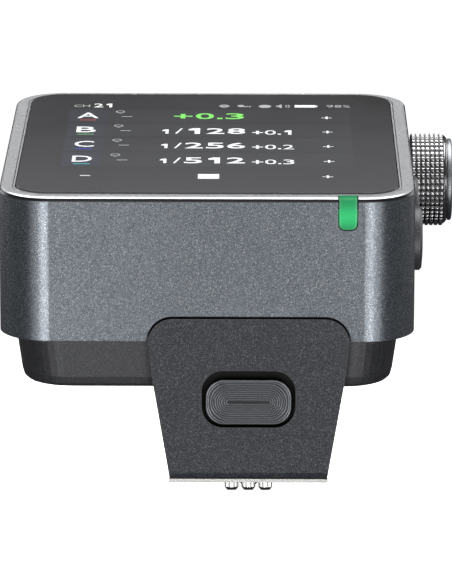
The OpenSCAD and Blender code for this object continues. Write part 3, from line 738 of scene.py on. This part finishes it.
NODE_FINISHES: dict[Finishes, str] = {
    Finishes.SHELL: "upper_shell", Finishes.UNDER: "lower_shell", Finishes.SCREEN: "cover_glass",
    Finishes.FOAM: "glass_gasket battery_pad", Finishes.PANEL: "display_panel", Finishes.FLEX: "display_flex",
    Finishes.BOARD: "main_board side_board front_board contact_board", Finishes.GOLD: "antenna",
    Finishes.TIN: "radio_shield usb_port encoder_case encoder_bush lock_retainer", Finishes.FOIL: "battery",
    Finishes.BLACK: "buzzer usb_tongue sync_jack side_switches test_switch contact_insulator",
    Finishes.BLACK_PAINTED_SHADE: "button_guide",
    Finishes.STEEL: "dial_shaft case_screws neck_screws foot_screws lock_cross_pin retainer_screws",
    Finishes.WHITE: "detent_wheel dial_push_rod status_led", Finishes.DIAL: "dial_ring",
    Finishes.CAP: "dial_cap",
    Finishes.KEY: "menu_key power_key", Finishes.TEST: "test_key", Finishes.NECK: "mount_neck",
    Finishes.FOOT: "shoe_foot", Finishes.WIRE: "contact_wires", Finishes.RELEASE: "release_button",
    Finishes.PINS: "sync_pin left_pin middle_pin right_pin lock_pin",
    Finishes.SPRING: "sync_spring left_spring middle_spring right_spring release_spring lock_spring",
}


class Wardrobe:
    """Builds each finish once and puts it on nodes and pieces."""

    def __init__(self) -> None:
        """Starts with the shared shader groups and no materials."""
        self.groups = ShaderGroups()
        self.built: dict[Finishes, bpy.types.Material] = {}
        self.slots = {s["node"]: s["material_slot"] for s in frame["record"]["subparts"]}

    def material(self, finish: Finishes) -> bpy.types.Material:
        """The finish's material, built when first asked for."""
        if finish not in self.built:
            self.built[finish] = finish.value.build(self.groups)
        return self.built[finish]

    def dress_nodes(self) -> int:
        """Gives every CAD node its finish.

        Returns:
            How many nodes were dressed.
        """
        done = 0
        for finish, names in NODE_FINISHES.items():
            for name in names.split():
                for slot in frame["nodes"][name].material_slots:
                    slot.material = self.material(finish)
                done += 1
        return done

    def dress(self, piece: bpy.types.Object, finish: Finishes, body: str) -> bpy.types.Object:
        """Finishes a new piece and sets what it rides on.

        Args:
            piece: the new object.
            finish: its finish.
            body: the CAD body that it moves with.
        Returns:
            The piece.
        """
        piece.data.materials.clear()
        piece.data.materials.append(self.material(finish))
        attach(piece, body)
        return piece


# ---------------------------------------------------------------- screen
@dataclass
class Screen:
    """The panel's graphics, printed as thin lit sheets just above the cover glass."""

    slope: SlopedFrame
    lift: float = 0.008
    shift: tuple[float, float] = (-0.08, -0.45)
    row_top: float = 17.5
    row_pitch: float = 7.69
    row_height: float = 6.95
    row_half: float = 17.35
    cell_width: float = 4.7
    letter_x: float = -14.95
    cap_height: float = 3.0
    bar: float = 0.26
    sign_gap: float = 0.17
    sheets: dict[tuple[str, Finishes], list[tuple[np.ndarray, np.ndarray]]] = field(default_factory=dict)

    def put(self, piece: str, ink: Finishes, points: np.ndarray, faces: list, level: float = 1.0) -> None:
        """Adds one flat shape to a piece of one ink.

        Args:
            piece: the piece's name.
            ink: its finish.
            points: (n, 2) of u, v in millimetres.
            faces: corner numbers of its faces.
            level: layers above the glass.
        """
        flat = np.column_stack([points + np.array(self.shift), np.full(len(points), self.lift * level)])
        self.sheets.setdefault((piece, ink), []).append((self.slope.world(flat), faces))

    def box(self, piece: str, ink: Finishes, middle: tuple[float, float], size: tuple[float, float],
            level: float = 2.0) -> None:
        """A plain rectangle about its middle."""
        corner = np.array([[-1, -1], [1, -1], [1, 1], [-1, 1]]) * np.array(size) / 2
        self.put(piece, ink, corner + middle, [[0, 1, 2, 3]], level)

    def disc(self, piece: str, ink: Finishes, middle: tuple[float, float], radii: tuple[float, float],
             hollow: float = 0.0, span: tuple[float, float] = (0.0, 360.0), level: float = 2.0) -> None:
        """An ellipse or ring: middle + radii * (cos a, sin a), for a over the span.

        Args:
            piece: the piece's name.
            ink: its finish.
            middle: its centre.
            radii: half its width and height.
            hollow: inner size as a share of the outer.
            span: first and last angle in degrees.
            level: layers above the glass.
        """
        a = np.radians(np.linspace(*span, 25))
        ring = np.column_stack([np.cos(a), np.sin(a)]) * radii
        points = np.vstack([ring * hollow, ring]) + middle
        self.put(piece, ink, points, [[k, 25 + k, 26 + k, k + 1] for k in range(24)], level)

    def glyph(self, sign: str, weight: float) -> list[tuple[np.ndarray, list[list[int]]]]:
        """One sign in a unit box, as flat shapes.

        The figure one, the plus, the point and the dash are drawn from straight strokes;
        every other sign is Blender's own letter, scaled to fill the box.

        Args:
            sign: the sign.
            weight: how far a letter's strokes are thickened, in letter heights.
        Returns:
            (points, faces) of each shape.
        """
        def bar(left: float, low: float, right: float, high: float) -> tuple[np.ndarray, list[list[int]]]:
            """A stroke between two corners."""
            return np.array([[left, low], [right, low], [right, high], [left, high]]), [[0, 1, 2, 3]]

        if sign == "1":
            flag = np.array([[0.16, 0.62], [0.5, 0.62], [0.5, 1.0], [0.42, 1.0], [0.16, 0.82]])
            return [bar(0.5, 0.0, 0.80, 1.0), (flag, [[0, 1, 2, 3, 4]])]
        if sign == "+":
            return [bar(0.0, 0.40, 1.0, 0.55), bar(0.36, 0.10, 0.62, 0.86)]
        if sign == ".":
            return [bar(0.0, 0.0, 1.0, 0.22)]
        curve = bpy.data.curves.new("sign", "FONT")
        curve.body, curve.offset, curve.resolution_u = sign, weight, 3
        holder = bpy.data.objects.new("sign", curve)
        bpy.context.scene.collection.objects.link(holder)
        mesh = bpy.data.meshes.new_from_object(holder.evaluated_get(bpy.context.evaluated_depsgraph_get()))
        flat = np.empty(len(mesh.vertices) * 3)
        mesh.vertices.foreach_get("co", flat)
        flat = flat.reshape(-1, 3)[:, :2]
        faces = [list(p.vertices) for p in mesh.polygons]
        bpy.data.objects.remove(holder)
        bpy.data.curves.remove(curve)
        bpy.data.meshes.remove(mesh)
        return [((flat - flat.min(0)) / (flat.max(0) - flat.min(0)), faces)]

    def word(self, piece: str, ink: Finishes, text: str, left: float, base: float, width: float,
             height: float, weight: float = 0.0) -> None:
        """A row of signs in cells of equal width, with a narrow cell for a point.

        Args:
            piece: the piece's name.
            ink: its finish.
            text: what it says.
            left: u of its left edge.
            base: v of its lower edge.
            width: its width.
            height: its height.
            weight: how far the strokes are thickened, in letter heights.
        """
        cells = np.array([0.28 if sign == "." else 1.0 for sign in text])
        cell = width / (cells.sum() + self.sign_gap * (len(text) - 1))
        at = left
        for sign, share in zip(text, cells):
            for points, faces in self.glyph(sign, weight):
                self.put(piece, ink, points * (share * cell, height) + (at, base), faces, 2.0)
            at += (share + self.sign_gap) * cell

    def plus(self, piece: str, middle: tuple[float, float], reach: float = 0.63) -> None:
        """A plus sign of two bars."""
        self.box(piece, Finishes.INK_WHITE, middle, (2 * reach, self.bar * 0.7))
        self.box(piece, Finishes.INK_WHITE, middle, (self.bar, 2 * reach), 2.5)

    def row(self, index: int, letter: str, ink: Finishes, small: str, large: str, extra: str) -> None:
        """One group's row: band, letter cell, letter, underline, lamp, value and signs.

        Args:
            index: 0 for the farthest row.
            letter: the group's letter.
            ink: its underline's colour.
            small: the value's first, smaller part.
            large: its bold part.
            extra: its last part.
        """
        top = self.row_top - index * self.row_pitch
        name = f"screen_row_{letter.lower()}"
        middle = top - self.row_height / 2
        self.box(name + "_band", Finishes.ROW, (0, middle), (2 * self.row_half, self.row_height), 0.6)
        self.box(name + "_cell", Finishes.CELL, (self.cell_width / 2 - self.row_half, middle),
                 (self.cell_width, self.row_height), 1.2)
        wide = 2.62 if letter == "A" else 2.36
        self.word(name + "_letter", Finishes.INK_WHITE, letter, self.letter_x - wide / 2, top - 4.75, wide,
                  self.cap_height, 0.008)
        self.box(name + "_underline", ink, (self.letter_x, top - 5.78), (1.95, 0.34))
        signs = name + "_signs"
        self.disc(signs, Finishes.INK_SOFT, (-11.04, top - 1.2), (0.58, 0.62), 0.72)
        self.box(signs, Finishes.INK_SOFT, (-11.04, top - 2.0), (0.42, 0.16))
        self.box(signs, Finishes.INK_SOFT, (-10.17, top - 3.85), (1.26, self.bar))
        self.plus(signs + "_add", (14.45, top - 4.3))
        value = name + "_value"
        if large.startswith("+"):
            self.word(value, Finishes.INK_GREEN, large, -4.37, top - 5.1, 8.65, 3.15, 0.012)
            return
        self.word(value, Finishes.INK_WHITE, small, -5.85, top - 5.35, 1.2, 2.2)
        self.word(value, Finishes.INK_WHITE, "/", -4.1, top - 5.35, 0.92, 2.75)
        self.word(value, Finishes.INK_WHITE, large, -2.8, top - 5.42, 7.25, 2.97, 0.012)
        self.word(value, Finishes.INK_WHITE, extra, 5.28, top - 5.75, 5.05, 2.28)

    def status(self) -> None:
        """The status row: channel, four plain symbols, the battery and its level."""
        self.word("screen_channel", Finishes.INK_SOFT, "CH", -16.87, 18.9, 1.96, 1.25)
        self.word("screen_channel", Finishes.INK_WHITE, "21", -14.4, 18.75, 2.46, 2.05, 0.01)
        icons, soft = "screen_status_icons", Finishes.INK_SOFT
        self.disc(icons, soft, (1.8, 19.6), (0.6, 0.8), 0.5)
        self.box(icons, soft, (1.8, 19.6), (1.3, 0.3))
        self.disc(icons, soft, (3.85, 19.7), (0.42, 0.6))
        for k in range(3):
            self.box(icons, soft, (4.35 + 0.32 * k, 19.35), (0.2, 0.5))
        self.disc(icons, soft, (6.85, 19.5), (0.78, 0.85))
        self.box(icons, soft, (8.45, 19.6), (0.4, 0.7))
        self.disc(icons, soft, (8.95, 19.6), (0.42, 0.95), 0.0, (90, 270))
        self.disc(icons, soft, (9.3, 19.6), (0.32, 0.7), 0.6, (-70, 70))
        self.disc(icons, soft, (9.45, 19.6), (0.5, 1.0), 0.75, (-60, 60))
        self.box("screen_battery_level", Finishes.INK_WHITE, (11.85, 19.6), (2.6, 1.3), 2.0)
        self.box("screen_battery_level", Finishes.INK_WHITE, (13.27, 19.6), (0.2, 0.6), 2.0)
        self.word("screen_battery_share", Finishes.INK_SOFT, "98%", 14.5, 18.95, 2.92, 1.35)

    def foot_row(self) -> None:
        """The lowest row: minus, the white key and plus."""
        self.box("screen_foot_row", Finishes.INK_WHITE, (-14.3, -17.3), (1.2, self.bar))
        self.box("screen_foot_row", Finishes.INK_WHITE, (0.2, -17.6), (2.5, 2.3))
        self.plus("screen_foot_row_add", (14.2, -17.6))

    def build(self, wardrobe: Wardrobe) -> int:
        """Makes every sheet.

        Args:
            wardrobe: finishes.
        Returns:
            The number of pieces.
        """
        self.row(0, "A", Finishes.INK_RED, "", "+0.3", "")
        self.row(1, "B", Finishes.INK_LEAF, "1", "128", "+0.1")
        self.row(2, "C", Finishes.INK_BLUE, "1", "256", "+0.2")
        self.row(3, "D", Finishes.INK_TEAL, "1", "512", "+0.3")
        self.status()
        self.foot_row()
        for (name, ink), sheets in self.sheets.items():
            title = name if ink is not Finishes.INK_SOFT else name + "_soft"
            wardrobe.dress(flat_of(title, sheets), ink, "case")
        return len(self.sheets)


# ---------------------------------------------------------------- rim
@dataclass
class RimLine:
    """A flat black band on the rim around the glass: painted shade for a fine line cut there."""

    slope: SlopedFrame
    corner: float
    inner: float = 0.34
    outer: float = 0.44
    lift: float = 0.004
    per_corner: int = 24

    def loop(self, out: float) -> np.ndarray:
        """A rounded rectangle set outside the glass by a distance.

        Args:
            out: the distance in millimetres.
        Returns:
            (points, 2) array of u, v: four corner arcs of the glass's radius plus out.
        """
        low, high = (np.array(c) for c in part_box("cover_glass"))
        size = (high - low)[:2] / MM / 2
        reach = np.array([size[0], size[1] / math.cos(TILT)]) - self.corner
        quarter = np.linspace(0, math.pi / 2, self.per_corner)
        angle = np.concatenate([quarter + k * math.pi / 2 for k in range(4)])
        sign = np.repeat(np.array([[1, 1], [-1, 1], [-1, -1], [1, -1]]), self.per_corner, axis=0)
        return reach * sign + (self.corner + out) * np.column_stack([np.cos(angle), np.sin(angle)])

    def build(self, wardrobe: "Wardrobe") -> bpy.types.Object:
        """Makes the line as a flat band between two loops on the rim's plane."""
        loops = np.stack([self.loop(self.inner), self.loop(self.outer)])
        flat = np.concatenate([loops, np.full((*loops.shape[:2], 1), self.lift - GLASS_PROUD / MM)], -1)
        points = self.slope.world(flat.reshape(-1, 3))
        line = flat_of("rim_line_painted_shade", [(points, grid_quads(*loops.shape[:2], True))])
        # The black band is painted shade for the groove.
        return wardrobe.dress(line, Finishes.BLACK, "case")


# ---------------------------------------------------------------- dial
@dataclass
class Dial:
    """The knurled ring around the dial's shaft, cut into rows of small blunt teeth."""

    teeth: int = 48
    columns: int = 7
    per_tooth: int = 8
    per_column: int = 8
    cut: float = 0.24
    bevel: float = 0.45
    recess: float = 1.1
    recess_radius: float = 3.4

    def surface(self, low: np.ndarray, high: np.ndarray) -> tuple[np.ndarray, np.ndarray, int, int]:
        """The ring's points.

        At angle a and place x the radius is R - cut (1 - m), where m is the smaller of two
        tooth waves, one around and one along, each 1 on a tooth's land and 0 in a groove.

        Args:
            low: lowest corner of the CAD ring, in metres.
            high: its highest corner.
        Returns:
            Points in metres, their painted groove shade, and the number of rows and of columns of the grid.
        """
        radius = (high[2] - low[2]) / 2 / MM
        start, end = low[0] / MM, high[0] / MM
        along = np.linspace(start + 0.05, end - self.bevel, self.columns * self.per_column + 1)
        around = np.arange(self.teeth * self.per_tooth) * 2 * math.pi / (self.teeth * self.per_tooth)
        phase_x = (along - along[0]) / (along[-1] - along[0]) * self.columns
        phase_a = around * self.teeth / (2 * math.pi)
        wave_x = smoothstep(0.03, 0.20, np.abs(((phase_x + 0.5) % 1) - 0.5))
        wave_a = smoothstep(0.05, 0.26, np.abs(((phase_a + 0.5) % 1) - 0.5))
        wave = np.minimum(wave_x[:, None], wave_a[None, :])
        knurl = radius - self.cut * (1 - wave)
        steady = np.ones(len(around))[None, :]
        root = radius - self.cut
        profile = [(start + self.recess, 0.0), (start + self.recess, self.recess_radius),
                   (start, self.recess_radius), (start, root)]
        tail = [(end - self.bevel + 0.06, root), (end - 0.22, radius - 0.36), (end, radius - 0.62), (end, 0.0)]
        x = np.concatenate([[p[0] for p in profile], along, [p[0] for p in tail]])
        r = np.vstack([np.array([[p[1]] for p in profile]) * steady, knurl,
                       np.array([[p[1]] for p in tail]) * steady])
        middle = (low + high) / 2
        points = np.stack([np.broadcast_to(x[:, None], r.shape) * MM,
                           middle[1] + r * np.cos(around) * MM, middle[2] + r * np.sin(around) * MM], -1)
        # Painted shade: tone is 0 in the grooves and 1 on the lands.
        tone = np.vstack([np.ones((len(profile), len(around))), wave, np.ones((len(tail), len(around)))])
        return points.reshape(-1, 3), tone.ravel(), *r.shape

    def build(self, wardrobe: Wardrobe) -> bpy.types.Object:
        """Makes the ring in place of its CAD node."""
        low, high = (np.array(c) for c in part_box("dial_ring"))
        points, tone, rows, cols = self.surface(low, high)
        ring = solid_of("dial_ring_knurled", points, grid_quads(rows, cols, True), tone)
        wardrobe.dress(ring, Finishes.DIAL, "dial")
        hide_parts("dial_ring")
        return ring


# ---------------------------------------------------------------- springs
@dataclass(frozen=True)
class Spring:
    """A coil spring drawn at rest in its CAD node's box."""

    node: str
    joint: str
    axis: int
    wire: float
    turns: float
    per_turn: int = 28
    around: int = 10

    def surface(self, low: np.ndarray, high: np.ndarray) -> np.ndarray:
        """The wire's surface as rings along a helix.

        At angle t the wire's middle stands R from the axis and rises evenly from end to end;
        a circle of the wire's radius is drawn about it, outward and along the axis.

        Args:
            low: lowest corner of the spring's box, in metres.
            high: its highest corner.
        Returns:
            (rings, points, 3) array in metres.
        """
        across = [k for k in range(3) if k != self.axis]
        middle, wire = (low + high) / 2, self.wire * MM
        reach = (high - low)[across].min() / 2 - wire
        turn = np.linspace(0, 2 * math.pi * self.turns, int(self.per_turn * self.turns) + 1)
        rise = np.linspace(low[self.axis] + wire, high[self.axis] - wire, len(turn))
        round_wire = np.linspace(0, 2 * math.pi, self.around, endpoint=False)
        taper = np.ones(len(turn))
        taper[[0, -1]] = 0.0
        out = reach + wire * taper[:, None] * np.cos(round_wire)
        points = np.empty((len(turn), self.around, 3))
        points[..., across[0]] = middle[across[0]] + out * np.cos(turn)[:, None]
        points[..., across[1]] = middle[across[1]] + out * np.sin(turn)[:, None]
        points[..., self.axis] = rise[:, None] + wire * taper[:, None] * np.sin(round_wire)
        return points

    def build(self, wardrobe: Wardrobe) -> bpy.types.Object:
        """Makes the spring in place of its CAD node."""
        low, high = (np.array(c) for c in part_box(self.node))
        points = self.surface(low, high)
        spring = solid_of(self.node + "_coil", points.reshape(-1, 3), grid_quads(*points.shape[:2], True),
                          np.ones(points[..., 0].size))
        wardrobe.dress(spring, Finishes.SPRING, "case")
        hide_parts(self.node)
        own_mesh(spring)
        return spring


PINS = ("sync", "left", "middle", "right")
SPRINGS = [Spring(f"{pin}_spring", f"{pin}_pin_press", 2, 0.14, 5) for pin in PINS] + [
    Spring("release_spring", "release_press", 1, 0.2, 4.5), Spring("lock_spring", "lock_lift", 2, 0.18, 5)]


# ---------------------------------------------------------------- lock release
@dataclass
class ReleaseFace:
    """The release button's ribbed face: grooves that repeat its outline down to the middle."""

    slope: SlopedFrame
    middle: tuple[float, float]
    half: tuple[float, float] = (4.96, 2.66)
    corner: float = 2.05
    groove_pitch: float = 0.262
    groove: float = 0.07
    stand: float = 0.06
    border: float = 0.14
    rings: int = 91
    per_corner: int = 17

    def outline(self, depth: np.ndarray) -> np.ndarray:
        """Rounded rectangles inset by each depth.

        Each has corner radius min(corner, half height left), about centres set back from its
        edges by that radius, so the inner rings have round ends.

        Args:
            depth: insets in millimetres, one per ring.
        Returns:
            (rings, points, 2) array.
        """
        radius = np.minimum(self.corner, self.half[1] - depth)[:, None, None]
        left = np.stack([self.half[0] - depth, self.half[1] - depth], -1)[:, None, :]
        reach = np.maximum(left - radius, 0.0)
        quarter = np.linspace(0, math.pi / 2, self.per_corner)
        angle = np.concatenate([quarter + k * math.pi / 2 for k in range(4)])
        sign = np.repeat(np.array([[1, 1], [-1, 1], [-1, -1], [1, -1]]), self.per_corner, axis=0)[None]
        return reach * sign + radius * np.stack([np.cos(angle), np.sin(angle)], -1)[None]

    def build(self, wardrobe: Wardrobe) -> bpy.types.Object:
        """Makes the face, w = stand - groove (1 + cos(2 pi d / pitch)) / 2 at inset d."""
        depth = np.linspace(0, self.half[1], self.rings)
        rings = self.outline(depth)
        wave = 0.5 + 0.5 * np.cos(2 * math.pi * (depth - self.border) / self.groove_pitch)
        height = self.stand - self.groove * wave * smoothstep(0.0, 0.02, depth - self.border)
        height = np.where(depth < self.border, self.stand * np.sqrt(depth / self.border), height)
        out = np.broadcast_to(-height[:, None], rings.shape[:2])
        flat = np.stack([rings[..., 0] + self.middle[0], out, rings[..., 1] + self.middle[1]], -1)
        points = self.slope.world(flat.reshape(-1, 3))
        # Painted shade: tone falls to 0 in each groove bottom and at the very middle of the face, where the
        # groove colour is laid.
        middle_painted_shading = smoothstep(0.0, self.groove_pitch, self.half[1] - depth)
        tone = np.where(depth < self.border, 1.0, (1 - wave) * middle_painted_shading)
        face = solid_of("release_face_ribs", points, grid_quads(*rings.shape[:2], True),
                        np.repeat(tone, rings.shape[1]))
        return wardrobe.dress(face, Finishes.RIBS, "release")


# ---------------------------------------------------------------- studio
@dataclass
class Studio:
    """Camera, soft lights, a pale floor and a white surround."""

    eye: tuple[float, float, float] = (0.000723, -0.59546, 0.03193)
    look_down: float = 0.0165
    look_left: float = 0.0059
    roll: float = -0.003
    lens: float = 306.65
    floor_gap: float = 0.0003

    def camera(self) -> None:
        """A long lens a little above the foot, facing the release side."""
        data = bpy.data.cameras.new("camera")
        data.lens, data.sensor_width, data.clip_end = self.lens, 36.0, 50.0
        camera = bpy.data.objects.new("camera", data)
        camera.location = self.eye
        camera.rotation_euler = (math.pi / 2 - self.look_down, self.roll, self.look_left)
        bpy.context.scene.collection.objects.link(camera)
        bpy.context.scene.camera = camera

    def lamp(self, name: str, place: tuple[float, float, float], size: tuple[float, float], power: float,
             aim: tuple[float, float, float] = (-0.004, 0.0, 0.03), only_shine: bool = False) -> None:
        """A rectangular soft light aimed at the case.

        Args:
            name: its name.
            place: where it stands, in metres.
            size: its width and height.
            power: watts.
            aim: what it faces.
            only_shine: leaves it out of matt light.
        """
        data = bpy.data.lights.new(name, "AREA")
        data.shape, data.size, data.size_y, data.energy = "RECTANGLE", size[0], size[1], power
        lamp = bpy.data.objects.new(name, data)
        toward = np.array(aim) - np.array(place)
        toward /= np.linalg.norm(toward)
        yaw = math.atan2(toward[0], -toward[1])
        lamp.location = place
        lamp.rotation_euler = (math.acos(-toward[2]), 0.0, yaw + math.pi)
        lamp.visible_camera = False
        lamp.visible_diffuse = not only_shine
        bpy.context.scene.collection.objects.link(lamp)

    def surround(self) -> None:
        """White to the eye, dim grey to reflections and fill."""
        world = bpy.data.worlds.new("surround")
        world.use_nodes = True
        bpy.context.scene.world = world
        tree = world.node_tree
        back = tree.nodes["Background"]
        path = tree.nodes.new("ShaderNodeLightPath")
        blend = tree.nodes.new("ShaderNodeMix")
        blend.data_type = "RGBA"
        blend.inputs[6].default_value = (0.03, 0.03, 0.032, 1)
        blend.inputs[7].default_value = (1.05, 1.05, 1.05, 1)
        tree.links.new(path.outputs["Is Camera Ray"], blend.inputs[0])
        tree.links.new(blend.outputs[2], back.inputs[0])

    def floor(self) -> None:
        """A wide pale floor just under the foot, which lets the low lights through."""
        material = bpy.data.materials.new("floor_paper")
        material.use_nodes = True
        shader = material.node_tree.nodes["Principled BSDF"]
        shader.inputs["Base Color"].default_value = (0.9, 0.9, 0.9, 1)
        shader.inputs["Roughness"].default_value = 0.9
        shader.inputs["Specular IOR Level"].default_value = 0.0
        shader.inputs["Emission Color"].default_value = (1, 1, 1, 1)
        shader.inputs["Emission Strength"].default_value = 1.0
        reach, z = 12.0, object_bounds()[0][2] - self.floor_gap
        corners = np.array([[-reach, -reach, z], [reach, -reach, z], [reach, reach, z], [-reach, reach, z]])
        floor = flat_of("floor", [(corners, [[0, 1, 2, 3]])])
        floor.data.materials.append(material)
        floor.visible_shadow = floor.visible_diffuse = floor.visible_glossy = False
        floor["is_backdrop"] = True

    def at(self, azimuth: float, elevation: float, distance: float) -> tuple[float, float, float]:
        """The point at an azimuth to the camera's right and an elevation, seen from the case."""
        a, e = math.radians(azimuth), math.radians(elevation)
        flat = distance * math.cos(e)
        return (flat * math.sin(a), -flat * math.cos(a), 0.03 + distance * math.sin(e))

    def build(self) -> None:
        """Sets the whole studio up."""
        bpy.context.scene.view_settings.view_transform = "Standard"
        self.camera()
        self.surround()
        self.floor()
        self.lamp("top_softbox", (0.0, 0.02, 0.55), (0.8, 0.55), 6.0)
        self.lamp("front_panel", self.at(0, -28, 0.6), (0.26, 0.30), 0.07)
        self.lamp("left_strip", self.at(-18, -27, 0.6), (0.09, 0.34), 1.10)
        self.lamp("left_wing", self.at(-36, -27, 0.6), (0.20, 0.34), 0.30)
        self.lamp("right_strip", self.at(18, -27, 0.6), (0.09, 0.34), 0.95)
        self.lamp("right_wing", self.at(34, -27, 0.6), (0.16, 0.34), 0.42)
        self.lamp("eye_panel", self.at(0, 3, 0.9), (0.30, 0.05), 0.15)
        self.lamp("front_fill", self.at(0, 34, 0.8), (0.3, 0.12), 0.3)
        self.lamp("foot_panel", self.at(0, -4, 0.9), (1.2, 0.07), 0.55, (0.0, 0.0, 0.0), True)
        for side, name in ((-1, "left"), (1, "right")):
            self.lamp(name + "_rear", self.at(128 * side, 12, 0.8), (0.45, 0.35), 1.3)
            self.lamp(name + "_low_panel", self.at(80 * side, -4, 0.9), (1.2, 0.07), 0.50,
                      (0.0, 0.0, 0.0), True)


# ---------------------------------------------------------------- assembly
def main() -> None:
    """Builds the looks in order."""
    logging.basicConfig(level=logging.INFO, format="%(name)s: %(message)s")
    wardrobe = Wardrobe()
    log.info("dressed %d CAD nodes", wardrobe.dress_nodes())
    log.info("screen graphics: %d pieces", Screen(ON_GLASS).build(wardrobe))
    log.info("springs: %d", len([spring.build(wardrobe) for spring in SPRINGS]))
    log.info("rim line: %d faces", len(RimLine(ON_GLASS, GLASS_CORNER).build(wardrobe).data.polygons))
    log.info("knurled ring: %d faces", len(Dial().build(wardrobe).data.polygons))
    low, high = (np.array(c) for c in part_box("button_guide"))
    guide = (low + high) / 2
    button_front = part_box("release_button")[0][1]
    centre_z = guide[2] - 0.34 * MM
    top_z = centre_z + 2.6 * MM
    face_y = button_front + (top_z - centre_z) * math.tan(TILT)
    on_release = SlopedFrame(np.array([0.0, face_y, centre_z]), TILT)
    face = ReleaseFace(on_release, (0.0, 0.0)).build(wardrobe)
    log.info("release face: %d faces", len(face.data.polygons))
    Studio().build()


if __name__ == "__main__":
    main()
